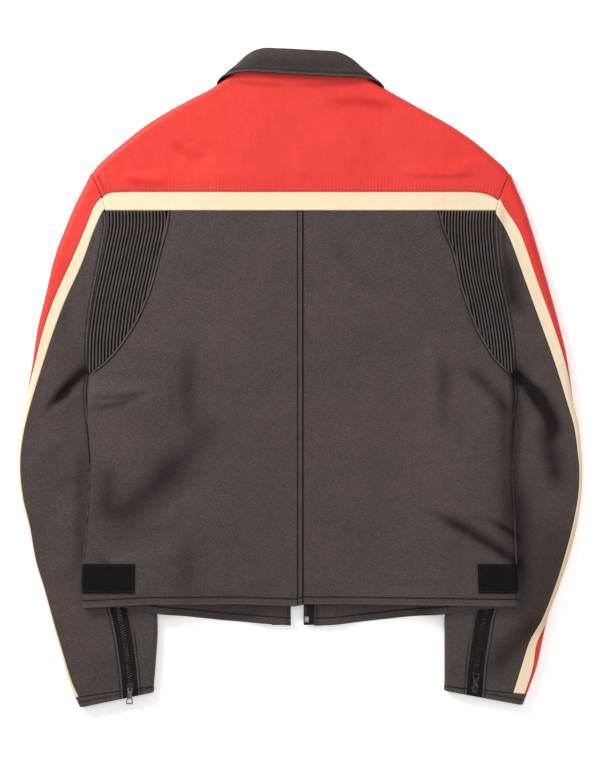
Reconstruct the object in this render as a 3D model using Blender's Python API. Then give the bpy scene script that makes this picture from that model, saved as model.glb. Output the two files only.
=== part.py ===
"""Leather motorcycle jacket laid flat, face down, so that its back shows.

+X is the jacket's right-hand side as it lies, +Y its collar, +Z up. The origin is on the floor below the
middle of the whole outline. Every panel is a patch of leather with a wall of its own: a function gives the
outer face of a patch from two parameters, and `shell` moves those points in along their normals.
"""

import bmesh
import bpy
import numpy as np
from mathutils import Matrix

MM = 0.001
WALL = 2.0 * MM  # leather with its backing
SEAM_GAP = 0.3 * MM  # between neighbouring pieces

# Heights above the floor, all to an outer face.
TOP = 16.5 * MM  # the back, where only the fronts lie below it
SLEEVE_LIFT = 14.6 * MM  # the fronts, where a sleeve lies below them
SIDE_RISE = 7.0 * MM  # how much higher the back lies over a sleeve
ZIP_LIFT = 5.5 * MM  # the fronts beside the zip and above the collar's front leaf

# Lines of the body.
ARMPIT_Y = 4 * MM
STRIPE_TOP, STRIPE_BOTTOM = 232 * MM, 209 * MM
FRONT_YOKE_Y = 200 * MM
CENTRE_BACK = 3 * MM
BACK_HEM, FRONT_HEM = -284 * MM, -300 * MM
NECK_LEVEL = 388 * MM
FRONT_EDGE = {"left": -12 * MM, "right": 17 * MM}
RIB_COUNT = 17
RIB_HEIGHT = 1.7 * MM

SIDES = {"left": -1, "right": 1}

# Armhole seam, from the shoulder to the armpit: x, y in mm.
ARMHOLE = {
    "left": [(-260.5, 254.5), (-254, 240), (-247, 224), (-243.5, 209), (-245, 190), (-250, 165),
             (-256, 130), (-261, 90), (-264, 50), (-266, 4)],
    "right": [(260.5, 254.5), (253.8, 240), (248, 224), (244, 209), (242.5, 190), (245, 165),
              (251, 125), (259, 90), (263.5, 50), (266, 4)],
}
# Curved seam between the stretch panel and the back, from the stripe to the armpit: x, y in mm.
CURVED_SEAM = {
    "left": [(-165.5, 209), (-168, 190), (-176, 160), (-190, 108), (-213, 60), (-238, 27), (-266, 4)],
    "right": [(174.5, 209), (181, 185), (189.5, 165), (205, 106), (228, 50), (247, 21), (266, 4)],
}
# Side fold, from the armpit to the hem: y, x in mm.
SIDE_FOLD = {
    "left": [(4, -266), (-52, -267), (-128, -268), (-202, -269.5), (-312, -271.5)],
    "right": [(4, 266), (-52, 267), (-128, 269), (-202, 270), (-312, 271.5)],
}
# Shoulder fold, from the armhole to the neck: x, y in mm.
SHOULDER_FOLD = {
    "left": [(-260.5, 254.5), (-255.5, 262.3), (-245.5, 272.6), (-223, 292), (-198, 312), (-167, 332),
             (-129, 352), (-109, 361.5), (-95, 367), (-78, 373)],
    "right": [(260.5, 254.5), (255, 262.3), (243.5, 272.8), (221, 292), (193, 312), (158, 332),
              (121, 352), (104, 360), (92, 364), (78, 368)],
}
# Back neck seam between the two shoulder folds: x, y in mm.
BACK_NECK = [(-78, 373), (-71, 381.5), (-62, 386), (-30, 388.5), (0, 387.8), (30, 386.7), (62, 382.2),
             (71, 376.6), (78, 368)]
# Front neck seam from the shoulder fold to the front edge: x, y in mm.
FRONT_NECK = {
    "left": [(-78, 373), (-75.5, 361), (-61, 340), (-36.5, 321.5), (-12, 312.8)],
    "right": [(78, 368), (75.5, 356), (61, 336.5), (36.5, 319.3), (17, 313)],
}
# Hems: x, y in mm.
BACK_HEM_LINE = [(-272, -287), (-188, -282.5), (-76, -282.5), (-7, -285), (4, -282.5), (124, -283),
                 (272, -285)]
FRONT_HEM_LINE = [(-272, -286), (-219, -286), (-178, -294.5), (-143, -298.5), (-95, -303.5),
                  (-44, -307.5), (-12, -309.5),
                  (17, -310), (41, -309), (132, -299), (179, -295), (212, -289), (272, -286)]

# Sleeves, a row for each line across one, from the shoulder point to the cuff.
# outer: the outer fold. far: the armhole, and past the armpit the inner fold. cream_in, cream_out: the
# stripe's two seams, as distances round the leather from the outer fold, negative on the underside.
# seam: the back seam's distance from the inner fold. thin: thickness at the inner fold. All in mm.
SLEEVE_COLUMNS = ("outer_x", "outer_y", "far_x", "far_y", "cream_in", "cream_out", "seam", "thin")
SLEEVE = {
    "left": [
        (-263, 251, -257.5, 247, 48, 34, 0, 16.5),
        (-270, 239, -247, 224, 46, 30, 0, 16.5),
        (-280, 220, -243.5, 207, 44, 26, 0, 16.5),
        (-292, 192, -247, 178, 39, 25.5, 0, 16.5),
        (-307, 152, -256, 136, 37, 23.5, 0, 16.5),
        (-319, 102, -262, 85, 29, 15, 0, 16.5),
        (-329, 60, -265, 40, 22.5, 9, 0, 14),
        (-335, 15, -266.4, 4, 15, 1, 0, 6.4),
        (-343, -28, -264.5, -14, 11.5, -2.5, 5, 6.4),
        (-350, -70, -261, -38, 8.5, -5.5, 8, 8),
        (-353, -110, -254, -64, 6.8, -7.2, 13, 10.5),
        (-349, -150, -241, -104, 6.2, -8, 21, 12.5),
        (-340, -186, -229, -146, 5.4, -8.6, 30, 13.5),
        (-332, -228, -214, -195, 4.6, -9.4, 40, 13.5),
        (-321, -265, -200, -232, 4.8, -9.2, 50, 13.5),
        (-311, -303, -182, -270, 5.6, -8.4, 53, 13.5),
        (-300, -342, -178.5, -312, 6.2, -7.8, 47, 13.5),
        (-290, -378, -180.8, -355, 7.4, -6.6, 38.5, 13.5),
        (-281.5, -399, -183.3, -385, 8.6, -5.4, 33, 13),
        (-275, -411.5, -183.6, -392.5, 8.6, -5.4, 32.5, 13),
    ],
    "right": [
        (262, 251, 256.5, 247, 48, 34, 0, 16.5),
        (269, 239, 248.5, 224, 46, 30, 0, 16.5),
        (279, 216, 243.5, 204, 43, 25, 0, 16.5),
        (289, 184, 244.5, 170, 35.5, 20, 0, 16.5),
        (305.2, 128, 254, 113, 29.5, 15.5, 0, 16.5),
        (318.2, 82, 261.5, 66, 26, 12, 0, 16.5),
        (329.3, 40, 265, 27, 21.5, 8, 0, 14),
        (335.6, 7, 266.4, 4, 17, 2.5, 0, 6.4),
        (339.5, -28, 264.5, -18, 12.5, -1.5, 5, 6.4),
        (348.2, -62, 260, -40, 11, -3, 8, 8),
        (351.6, -95, 251, -70, 9.5, -4.5, 13, 10.5),
        (352.6, -118, 242, -98, 8.4, -5.6, 21, 12.5),
        (351, -150, 230, -138, 8.6, -5.4, 30, 13.5),
        (345, -188, 217, -180, 9.8, -4.2, 40, 13.5),
        (335, -226, 204, -220, 10, -4, 50, 13.5),
        (324, -259, 192, -256, 9.6, -4.4, 55, 13.5),
        (309, -300, 181, -293, 9.5, -1, 53, 13.5),
        (302, -330.5, 180, -322, 18, 8.5, 49, 13.5),
        (295, -362, 180, -354, 22.5, 7.5, 44, 13.5),
        (283, -395, 180, -385, 21.5, 6.5, 41.5, 13),
        (277, -408.5, 180, -390.5, 21.5, 6.5, 41, 13),
    ],
}
ARMPIT_ROW = 7
CREAM_START = {"out": 1, "in": 2}  # the rows where the stripe's seams run into the armhole
ZIP_ROW = 14.6  # the sleeve's row where the cuff zip starts
ZIP_HALF = 9.2 * MM
SLEEVE_THICK = 16.5 * MM  # at the armhole
FOREARM_THICK = 13.5 * MM
RED_BELOW = 59 * MM  # how far the red piece goes round below a sleeve
UNDER_START = 5  # the row from which the dark under piece has a place between it and the armhole
ARMHOLE_GAP = 1.0 * MM  # how far the sleeves end short of the armhole seam
SHOULDER_GAP = 2.6 * MM  # and how much more at the shoulder point

# Collar, a row for each section from the left front end to the centre back. seam: where the stand is
# sewn on. roll: the fold at the top. edge: the leaf's free edge. out: the way out from stand to leaf, in
# degrees from +X towards +Z, in the plane across the neck. Middle of the wall, in mm.
COLLAR_COLUMNS = ("seam_x", "seam_y", "seam_z", "roll_x", "roll_y", "roll_z", "edge_x", "edge_y", "edge_z",
                  "out")
COLLAR = [
    (-12, 313.3, 6.5, -14, 336, 4.4, -40, 286, 1.5, 270),
    (-36, 321.5, 6.5, -37, 346, 4.4, -66, 300, 1.5, 270),
    (-59.5, 339.5, 6.4, -62, 359, 4.4, -92, 322, 1.5, 265),
    (-71.5, 357.5, 6.2, -74, 370, 4.6, -105.5, 343, 1.8, 255),
    (-73.4, 366.3, 8, -80, 376.5, 6.4, -107.5, 355, 3, 230),
    (-74.2, 371.3, 10, -84, 380, 9.4, -106, 363, 6.2, 200),
    (-73.8, 375.6, 12.5, -82, 384, 13.5, -101, 368, 12, 160),
    (-71.6, 380.6, 14.8, -75.5, 390.5, 17.5, -88, 372.5, 18, 125),
    (-63.5, 385.8, 15.5, -63, 401, 19.8, -71, 377, 21.8, 100),
    (-45, 388.2, 15.5, -46, 408, 20.5, -50, 377.6, 23.2, 90),
    (-22, 389.1, 15.5, -22, 408.6, 20.5, -24, 377.4, 23.4, 90),
    (0, 389.2, 15.5, 0, 408.4, 20.5, 0, 377.2, 23.4, 90),
]
COLLAR_TILT = -0.045  # its right side lies a little lower than its left
TILTED_TO = 60 * MM

# Largest folds, each a soft ridge along a line, or a trough where high is negative.
# Columns: x0, y0, x1, y1, wide, high, in mm.
BACK_FOLDS = [
    (-262, -24, -198, -27, 10, -1.4),
    (-144, 2, -146, -76, 22, -1.2),
    (-112, -58, -244, -182, 30, 1.5),
    (-125, -190, -262, -226, 22, -1.3),
    (38, 190, 118, 92, 26, -1.3),
    (163, 190, 248, 12, 14, -1.0),
    (90, 8, 88, -34, 16, -1.2),
    (162, 58, 188, -92, 24, 1.0),
    (180, -178, 268, -228, 18, -1.4),
    (-60, -140, -20, -250, 30, 0.9),
    (60, -120, 130, -250, 34, 0.9),
    (24, 341, 150, 329, 18, -1.1),
    (125, 260, 248, 266, 14, 1.2),
    (-238, 256, -150, 248, 14, 1.0),
    (-160, 297, -108, 272, 18, -1.0),
]
SLEEVE_FOLDS = [
    (-268, 0, -318, -42, 12, -2.2),
    (-300, -60, -340, -130, 18, 1.3),
    (-272, -120, -330, -170, 20, -1.5),
    (-285, -250, -315, -230, 18, 1.2),
    (-262, -330, -215, -300, 16, -1.3),
    (268, -2, 318, -92, 14, -2.2),
    (262, 90, 272, 150, 12, -1.4),
    (300, -70, 342, -150, 18, 1.3),
    (280, -190, 330, -210, 18, -1.4),
    (306, -304, 240, -362, 14, -2.0),
]

RED, CREAM = (0.90, 0.075, 0.05), (0.97, 0.80, 0.57)
LEATHER, RIBBED, BLACK = (0.085, 0.065, 0.062), (0.05, 0.045, 0.043), (0.012, 0.011, 0.01)
GUNMETAL = (0.10, 0.095, 0.09)


# ---------------------------------------------------------------- curves and heights


def ease(t):
    """0 below 0, 1 above 1, and a smooth step between."""
    t = np.clip(t, 0.0, 1.0)
    return t * t * (3 - 2 * t)


def through(keys, values, at):
    """A smooth curve through table rows: cubic Hermite pieces with the slopes of the neighbours."""
    keys, values = np.asarray(keys, float), np.asarray(values, float)
    at = np.clip(at, keys[0], keys[-1])
    slopes = np.gradient(values, keys)
    i = np.clip(np.searchsorted(keys, at, side="right") - 1, 0, len(keys) - 2)
    step = keys[i + 1] - keys[i]
    t = (at - keys[i]) / step
    return ((1 + 2 * t) * (1 - t) ** 2 * values[i] + t * (1 - t) ** 2 * step * slopes[i]
            + t * t * (3 - 2 * t) * values[i + 1] + t * t * (t - 1) * step * slopes[i + 1])


def line(points, count=90):
    """`count` points evenly spaced along the smooth curve through a list of x, y in mm."""
    points = np.array(points, float) * MM
    along = np.concatenate([[0], np.cumsum(np.linalg.norm(np.diff(points, axis=0), axis=1))])
    at = np.linspace(0, along[-1], count)
    return np.stack([through(along, points[:, k], at) for k in (0, 1)], axis=1)


def even(dense, count=240):
    """A dense curve's points again, evenly spaced."""
    along = np.concatenate([[0], np.cumsum(np.linalg.norm(np.diff(dense, axis=0), axis=1))])
    at = np.linspace(0, along[-1], count)
    return np.stack([np.interp(at, along, dense[:, k]) for k in (0, 1)], axis=1)


def on_line(dense, t):
    """x and y at the share t of the length of such a curve."""
    place = np.clip(t, 0, 1) * (len(dense) - 1)
    index = np.arange(len(dense))
    return np.interp(place, index, dense[:, 0]), np.interp(place, index, dense[:, 1])


def distance(x, y, dense):
    """Distance from points to a curve."""
    a, b = dense[:-1], dense[1:]
    run = b - a
    px, py = np.asarray(x)[..., None] - a[:, 0], np.asarray(y)[..., None] - a[:, 1]
    t = np.clip((px * run[:, 0] + py * run[:, 1]) / (run**2).sum(axis=1), 0, 1)
    return np.sqrt((px - t * run[:, 0]) ** 2 + (py - t * run[:, 1]) ** 2).min(axis=-1)


def relief(x, y, folds):
    """Height of the folds: each is a rounded ridge that fades at its ends."""
    total = np.zeros_like(x)
    for fold in folds:
        x0, y0, x1, y1, wide, high = np.array(fold) * MM
        run = np.hypot(x1 - x0, y1 - y0)
        along = ((x - x0) * (x1 - x0) + (y - y0) * (y1 - y0)) / run**2
        across = ((x - x0) * (y1 - y0) - (y - y0) * (x1 - x0)) / run
        total += high * np.exp(-((across / wide) ** 2) * 2) * ease(along * 3) * ease((1 - along) * 3)
    return total


ARMHOLE_LINE = {side: line(points) for side, points in ARMHOLE.items()}
CURVED_LINE = {side: line(points) for side, points in CURVED_SEAM.items()}
SHOULDER_LINE = {side: line(points) for side, points in SHOULDER_FOLD.items()}
SIDE_LINE = {side: line([(x, y) for y, x in rows]) for side, rows in SIDE_FOLD.items()}
BODY_FOLDS = [*SHOULDER_LINE.values(), *SIDE_LINE.values()]
SLEEVE_ROWS = {
    side: dict(zip(SLEEVE_COLUMNS, np.array(rows, float).T * MM)) for side, rows in SLEEVE.items()
}


def x_on(dense, y):
    """x of a curve that runs down the jacket, at the height y."""
    return np.interp(-np.asarray(y), -dense[:, 1], dense[:, 0])


def sleeve_cover(x, y):
    """How fully a sleeve lies below this point of the body, from 0 to 1."""
    ramp_in, ramp_down, spare = 30 * MM, 40 * MM, 8 * MM
    cover = np.zeros_like(x)
    for side, sign in SIDES.items():
        rows = SLEEVE_ROWS[side]
        far_x = np.interp(-y, -rows["far_y"][ARMPIT_ROW:], rows["far_x"][ARMPIT_ROW:])
        inside = (x - far_x) * sign * 0.95 + spare
        cover = np.maximum(cover, ease((inside + ramp_in) / ramp_in) * ease((ARMPIT_Y - y) / ramp_down))
    return cover


def front_lift(x, y):
    """The lift of the fronts over the zip tapes and over the collar's front leaf."""
    beside_zip = ease((76 * MM - np.abs(x - 2 * MM)) / (30 * MM))
    round_neck = np.hypot(x / (128 * MM), (y - NECK_LEVEL) / (118 * MM))
    return ZIP_LIFT * np.maximum(beside_zip, ease((1.25 - round_neck) / 0.25))


def body_levels(x, y):
    """Heights of the lowest and the highest face of the body at a point, folds left out."""
    cover = sleeve_cover(x, y)
    return SLEEVE_LIFT * cover + front_lift(x, y), TOP + SIDE_RISE * cover + relief(x, y, BACK_FOLDS)


def body_z(x, y, layer, past=1.0):
    """Height of the outer face of the back (layer 1) or the fronts (layer -1).

    Towards a fold the two faces close in a half circle. past is -1 just beyond the fold.
    """
    low, high = body_levels(x, y)
    half = (high - low) / 2
    edge = np.min([distance(x, y, fold) for fold in BODY_FOLDS], axis=0)
    open_share = np.sqrt(1 - (1 - np.clip(edge / half, 0, 1)) ** 2)
    turn = np.where(edge < half, np.sign(past) + (np.asarray(past) == 0), 1.0)
    return low + half + layer * turn * half * open_share


def fold_run(q, radius):
    """Distance in from a fold, seen from above, after going q round the leather from it."""
    q = np.abs(q)
    turning = radius * (1 - np.cos(np.minimum(q / radius, np.pi / 2)))
    return turning + np.maximum(q - radius * np.pi / 2, 0)


# ---------------------------------------------------------------- meshes


def material(name, colour, roughness, metallic=0.0):
    made = bpy.data.materials.get(name)
    if made:
        return made
    made = bpy.data.materials.new(name)
    made.use_nodes = True
    made.diffuse_color = (*colour, 1)
    shader = made.node_tree.nodes["Principled BSDF"]
    shader.inputs["Base Color"].default_value = (*colour, 1)
    shader.inputs["Roughness"].default_value = roughness
    shader.inputs["Metallic"].default_value = metallic
    return made


def add_object(name, bm, finish):
    """A mesh object with its faces pointing out, shaded smooth."""
    if bm.calc_volume(signed=True) < 0:
        bmesh.ops.reverse_faces(bm, faces=bm.faces)
    mesh = bpy.data.meshes.new(name)
    bm.to_mesh(mesh)
    bm.free()
    mesh.shade_smooth()
    mesh.set_sharp_from_angle(angle=np.radians(50))
    mesh.materials.append(finish)
    made = bpy.data.objects.new(name, mesh)
    bpy.context.scene.collection.objects.link(made)
    return made


def normals(surface, a, b):
    """Unit normals of a surface function, from points a little to each side, inside the grid's own range."""
    near = 1e-4

    def step(which, sign):
        at = [a, b]
        at[which] = np.clip(at[which] + sign * near, at[which].min(), at[which].max())
        return np.stack(surface(*at), -1)

    along, across = step(0, 1) - step(0, -1), step(1, 1) - step(1, -1)
    found = np.cross(along, across)
    return found / np.maximum(np.linalg.norm(found, axis=-1, keepdims=True), 1e-30)


def drawn_in(points, amount):
    """The grid with its four edges moved in by half a seam's gap."""
    points = points.copy()
    for axis in (0, 1):
        grid = np.moveaxis(points, axis, 0)
        for end, towards in ((0, 1), (-1, -2)):
            step = grid[towards] - grid[end]
            grid[end] += step * (amount / np.maximum(np.linalg.norm(step, axis=-1, keepdims=True), 1e-9))
    return points


def shell(name, surface, a, b, finish, outward, high=0.0, low=-WALL, gap=SEAM_GAP):
    """A closed wall on a surface function of two parameters.

    a and b are the grid's parameter values, and outward is a rough direction of the outer side, or a
    function of the points that gives it. high and low are how far the wall's two faces stand out from
    the surface: numbers, or an array over the grid.
    """
    a, b = np.meshgrid(a, b, indexing="ij")
    base = np.stack(surface(a, b), -1)
    facing = normals(surface, a, b)
    wanted = outward(base) if callable(outward) else np.array(outward, float)
    if np.sum(facing * wanted) < 0:
        facing = -facing
    base = drawn_in(base, gap / 2)
    outer = base + facing * np.broadcast_to(np.asarray(high), a.shape)[..., None]
    inner = base + facing * low
    rows, columns = a.shape
    bm = bmesh.new()
    corner = [[[bm.verts.new(p) for p in row] for row in face.tolist()] for face in (outer, inner)]
    for i in range(rows - 1):
        for j in range(columns - 1):
            for face, turn in zip(corner, (1, -1)):
                bm.faces.new((face[i][j], face[i + 1][j], face[i + 1][j + 1], face[i][j + 1])[::turn])
    rim = [(i, 0) for i in range(rows)] + [(rows - 1, j) for j in range(1, columns)]
    rim += [(i, columns - 1) for i in range(rows - 2, -1, -1)] + [(0, j) for j in range(columns - 2, 0, -1)]
    for (i, j), (k, m) in zip(rim, rim[1:] + rim[:1]):
        # Neighbouring pieces cut their rims by the same diagonal, so that the gap between them stays even.
        loop = [corner[0][k][m], corner[0][i][j], corner[1][i][j], corner[1][k][m]]
        if (i, j) < (k, m):
            loop = loop[1:] + loop[:1]
        bm.faces.new(loop[:3])
        bm.faces.new([loop[2], loop[3], loop[0]])
    return add_object(name, bm, finish)


def levels(*stops):
    """Grid values through stops given as (value, steps to reach it), starting with a plain value."""
    found = [stops[0]]
    for value, steps in stops[1:]:
        found += list(np.linspace(found[-1], value, steps + 1)[1:])
    return np.array(found)


# ---------------------------------------------------------------- body


def side_surface(side, layer, top, hem, hem_line, boundary, far_edge):
    """A body panel beside a side fold: a runs from its top (0) to the hem (1), b from the side (0) in (1)."""
    sign = SIDES[side]
    hem_x, hem_y = np.array(hem_line, float).T * MM

    def surface(a, b):
        level = top + a * (hem - top)
        start = boundary(level)
        low, high = body_levels(start, level)
        closed = ease((ARMPIT_Y + 4 * MM - level) / (4 * MM))
        radius = np.maximum((high - low) / 2 * closed, 0.5 * MM)
        girth = (start - far_edge) * sign + (np.pi / 2 - 1) * radius
        x = start - sign * fold_run(b * girth, radius)
        y = level + ease(a) * (np.interp(x, hem_x, hem_y) - hem)
        return x, y, body_z(x, y, layer, b)

    return surface


def back_boundary(side):
    def boundary(level):
        seam = x_on(CURVED_LINE[side], level)
        return np.where(level > ARMPIT_Y, seam, x_on(SIDE_LINE[side], level))

    return boundary


def front_boundary(side):
    def boundary(level):
        seam = x_on(ARMHOLE_LINE[side], level)
        return np.where(level > ARMPIT_Y, seam, x_on(SIDE_LINE[side], level))

    return boundary


def back_surface(side):
    return side_surface(side, 1, STRIPE_BOTTOM, BACK_HEM, BACK_HEM_LINE, back_boundary(side), CENTRE_BACK)


def front_surface(side, edge=None):
    edge = FRONT_EDGE[side] if edge is None else edge
    return side_surface(side, -1, FRONT_YOKE_Y, FRONT_HEM, FRONT_HEM_LINE, front_boundary(side), edge)


ACROSS = levels(0, (0.045, 3), (0.12, 1), (1, 9))


def back_panels(finish):
    armpit = (STRIPE_BOTTOM - ARMPIT_Y) / (STRIPE_BOTTOM - BACK_HEM)
    down = levels(0, (armpit, 10), (1, 13))
    for side in SIDES:
        shell(f"back_{side}", back_surface(side), down, ACROSS, finish, (0, 0, 1))


def front_panels(finish):
    armpit = (FRONT_YOKE_Y - ARMPIT_Y) / (FRONT_YOKE_Y - FRONT_HEM)
    down = levels(0, (armpit, 5), (armpit + 0.09, 3), (1, 8))
    across = levels(0, (0.045, 3), (0.12, 1), (1, 8))
    for side in SIDES:
        shell(f"front_{side}", front_surface(side), down, across, finish, (0, 0, -1))


def stretch_surface(side):
    """The ribbed panel: a goes along a rib from the stripe (0) to the curved seam (1), b across the ribs."""
    hole, seam = ARMHOLE_LINE[side], CURVED_LINE[side]
    level = np.linspace(STRIPE_BOTTOM, ARMPIT_Y, 200)
    spread = np.abs(x_on(seam, level) - x_on(hole, level))
    share = np.minimum.accumulate(spread / spread[0])

    def surface(a, b):
        end = np.interp(-np.clip(b, 0, 1), -share, level)
        y = STRIPE_BOTTOM + a * (end - STRIPE_BOTTOM)
        x = x_on(hole, y) - SIDES[side] * b * spread[0]
        return x, y, body_z(x, y, 1)

    return surface


def stretch_panels(finish):
    points_a_rib = 2
    across = np.linspace(0, 0.975, RIB_COUNT * points_a_rib + 1)
    down = np.linspace(0, 1, 7)
    phase = across / across[-1] * RIB_COUNT
    ribs = RIB_HEIGHT * (np.abs(np.sin(np.pi * phase)) - 0.45)
    ends = ease(down / 0.03) * ease((1 - down) / 0.03)
    high = 0.1 * MM + ribs[None, :] * np.maximum(ends, 0.3)[:, None]
    for side in SIDES:
        shell(f"stretch_panel_{side}", stretch_surface(side), down, across, finish, (0, 0, 1), high,
              gap=1.6 * MM)


def stripe_surface(a, b):
    """The cream stripe across the back: a across it from its lower seam, b from left to right."""
    y = STRIPE_BOTTOM + a * (STRIPE_TOP - STRIPE_BOTTOM)
    left, right = x_on(ARMHOLE_LINE["left"], y), x_on(ARMHOLE_LINE["right"], y)
    x = left + b * (right - left)
    return x, y, body_z(x, y, 1)


def fan_surface(layer, path, foot, foot_y, fold_radius, holes):
    """A yoke: b goes along its foot (0 to 1) and along its top path, a from the top path (0) to the foot.

    holes are the armhole seams at its ends b = 0 and b = 1, or None where an end is straight.
    """

    def surface(a, b):
        top_x, top_y = on_line(path, b)
        foot_x = foot[0] + np.clip(b, 0, 1) * (foot[1] - foot[0])
        run = np.hypot(foot_x - top_x, foot_y - top_y)
        share = fold_run(a * (run + (np.pi / 2 - 1) * fold_radius), fold_radius) / run
        x, y = top_x + share * (foot_x - top_x), top_y + share * (foot_y - top_y)
        for hole, end, from_end in zip(holes, (0, -1), (b, 1 - b)):
            if hole is not None:
                corner_x, corner_y = path[end]
                way = corner_y + share * (foot_y - corner_y)
                bulge = x_on(hole, way) - (corner_x + share * (foot[end] - corner_x))
                x = x + bulge * ease(1 - from_end / 0.2)
        return x, y, body_z(x, y, layer, a)

    return surface


def back_yoke(finish):
    neck = line(BACK_NECK)
    path = np.concatenate([SHOULDER_LINE["left"], neck[1:-1], SHOULDER_LINE["right"][::-1]])
    run = np.concatenate([[0], np.cumsum(np.linalg.norm(np.diff(path, axis=0), axis=1))])
    left, right = run[len(SHOULDER_LINE["left"]) - 1] / run[-1], run[-len(SHOULDER_LINE["right"])] / run[-1]
    across = levels(0, (left, 9), (left + 0.015, 1), (right - 0.015, 6), (right, 1), (1, 9))
    foot = [float(x_on(ARMHOLE_LINE[side], STRIPE_TOP)) for side in SIDES]
    surface = fan_surface(1, even(path), foot, STRIPE_TOP, TOP / 2, list(ARMHOLE_LINE.values()))
    down = levels(0, (0.1, 3), (1, 5))
    shell("back_yoke", surface, down, across, finish, (0, 0, 1))


def front_yokes(finish):
    for side in SIDES:
        neck = line(FRONT_NECK[side])
        path = even(np.concatenate([SHOULDER_LINE[side], neck[1:]]))
        hole = ARMHOLE_LINE[side]
        foot = (float(x_on(hole, FRONT_YOKE_Y)), FRONT_EDGE[side])
        radius = (TOP - ZIP_LIFT / 2) / 2
        surface = fan_surface(-1, path, foot, FRONT_YOKE_Y, radius, (hole, None))
        down = levels(0, (0.1, 3), (1, 4))
        shell(f"front_yoke_{side}", surface, down, np.linspace(0, 1, 15), finish, (0, 0, -1), gap=0.8 * MM)


def hook_patches(finish):
    """Hook-and-loop patches on the back at the waist: they start just past the side fold."""
    for side, width in (("left", 62 * MM), ("right", 46 * MM)):
        surface = back_surface(side)
        y_top, y_bottom = -232.5 * MM, -270.5 * MM
        down = (STRIPE_BOTTOM - np.linspace(y_top, y_bottom, 4)) / (STRIPE_BOTTOM - BACK_HEM)
        whole = abs(SIDE_LINE[side][-20][0] - CENTRE_BACK)
        across = levels(0, (7 * MM / whole, 4), (width / whole, 5))
        shell(f"hook_patch_{side}", surface, down, across, finish, (0, 0, 1), 2.0 * MM, 0.3 * MM)


# ---------------------------------------------------------------- sleeves


def sleeve_row(side, row):
    """The sleeve's table columns at a place between its rows."""
    rows = SLEEVE_ROWS[side]
    index = np.arange(len(SLEEVE[side]))
    at = {name: through(index, rows[name], row) for name in SLEEVE_COLUMNS}
    at["far_x"] = np.where(row < ARMPIT_ROW, x_on(ARMHOLE_LINE[side], at["far_y"]), at["far_x"])
    return at


def sleeve_girth(side, row):
    """Half the way round a sleeve at a row, and the radii of its outer and inner folds."""
    at = sleeve_row(side, row)
    span = np.hypot(at["far_x"] - at["outer_x"], at["far_y"] - at["outer_y"])
    thick = SLEEVE_THICK + (FOREARM_THICK - SLEEVE_THICK) * ease((row - 5) / 5)
    outer = thick / 2
    inner = 0.2 * MM + (at["thin"] / 2 - 0.2 * MM) * ease((row - ARMPIT_ROW) * 2)
    short = ARMHOLE_GAP * ease((ARMPIT_ROW + 1 - row) * 2) + SHOULDER_GAP * ease((2 - row) * 1.4)
    span = span - short
    return span + (np.pi / 2 - 1) * (outer + inner), span, outer, inner


def sleeve_surface(side):
    """A sleeve's outer face: row runs down it, and q round it in metres from the outer fold.

    q grows over the top to the inner fold and on round it; a negative q goes over the underside.
    """
    pit_x, pit_y = SLEEVE_ROWS[side]["far_x"][ARMPIT_ROW], SLEEVE_ROWS[side]["far_y"][ARMPIT_ROW]

    def surface(row, q):
        at = sleeve_row(side, row)
        half, span, outer, inner = sleeve_girth(side, row)
        past = (np.abs(q) > half) & (row > ARMPIT_ROW)
        way = np.where(past, 2 * half - np.abs(q), np.abs(q))
        layer = np.where(q < 0, -1.0, 1.0) * np.where(past, -1.0, 1.0)
        from_far = np.maximum(half - way, 0)
        run = np.where(from_far < inner * np.pi / 2, span - fold_run(from_far, inner), fold_run(way, outer))
        share = run / np.hypot(at["far_x"] - at["outer_x"], at["far_y"] - at["outer_y"])
        x = at["outer_x"] + share * (at["far_x"] - at["outer_x"])
        y = at["outer_y"] + share * (at["far_y"] - at["outer_y"])
        full = 2 * outer
        thick = at["thin"] + (full - at["thin"]) * ease((span - run) / (45 * MM))
        closing = np.sin(np.minimum(way / outer, np.pi / 2))
        tube = np.sin(np.minimum(from_far / inner, np.pi / 2))
        pit = np.clip(np.hypot(x - pit_x, y - pit_y) / outer, 0, 1)
        cap = np.sqrt(1 - (1 - pit) ** 2)
        closing = closing * np.where(row > ARMPIT_ROW, tube, cap)
        crease = relief(x, y, SLEEVE_FOLDS) * ease((x * SIDES[side] - x_on(SIDE_LINE[side], y) * SIDES[side])
                                                   / (25 * MM))
        z = thick / 2 * (1 + layer * closing) + np.where(layer > 0, crease * closing, 0)
        return x, y, z

    return surface


def patch_surface(side, from_q, to_q, spacing=lambda row, b: b):
    """A patch of a sleeve: a is its row, and b runs from one seam (0) to the other (1)."""
    whole = sleeve_surface(side)

    def surface(row, b):
        low, high = from_q(row), to_q(row)
        return whole(row, low + spacing(row, b) * (high - low))

    return surface


def stations(side, start, end):
    """The rows where every panel of a sleeve has points, so that neighbours' seams agree."""
    last = len(SLEEVE[side]) - 1
    at_zip = (14, ZIP_ROW, ZIP_ROW + 0.02, 15.2)
    at_armhole = (0, 0.6, 1.3, 2, 2.3, 3, 4, 4.5, UNDER_START - 0.05, UNDER_START, 6, 7, 7.5)
    whole = [*at_armhole, *range(8, 14), *at_zip, *range(16, last), last - 0.5]
    return np.array([start] + [row for row in whole if start + 0.1 < row < end - 0.01] + [end])


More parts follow.
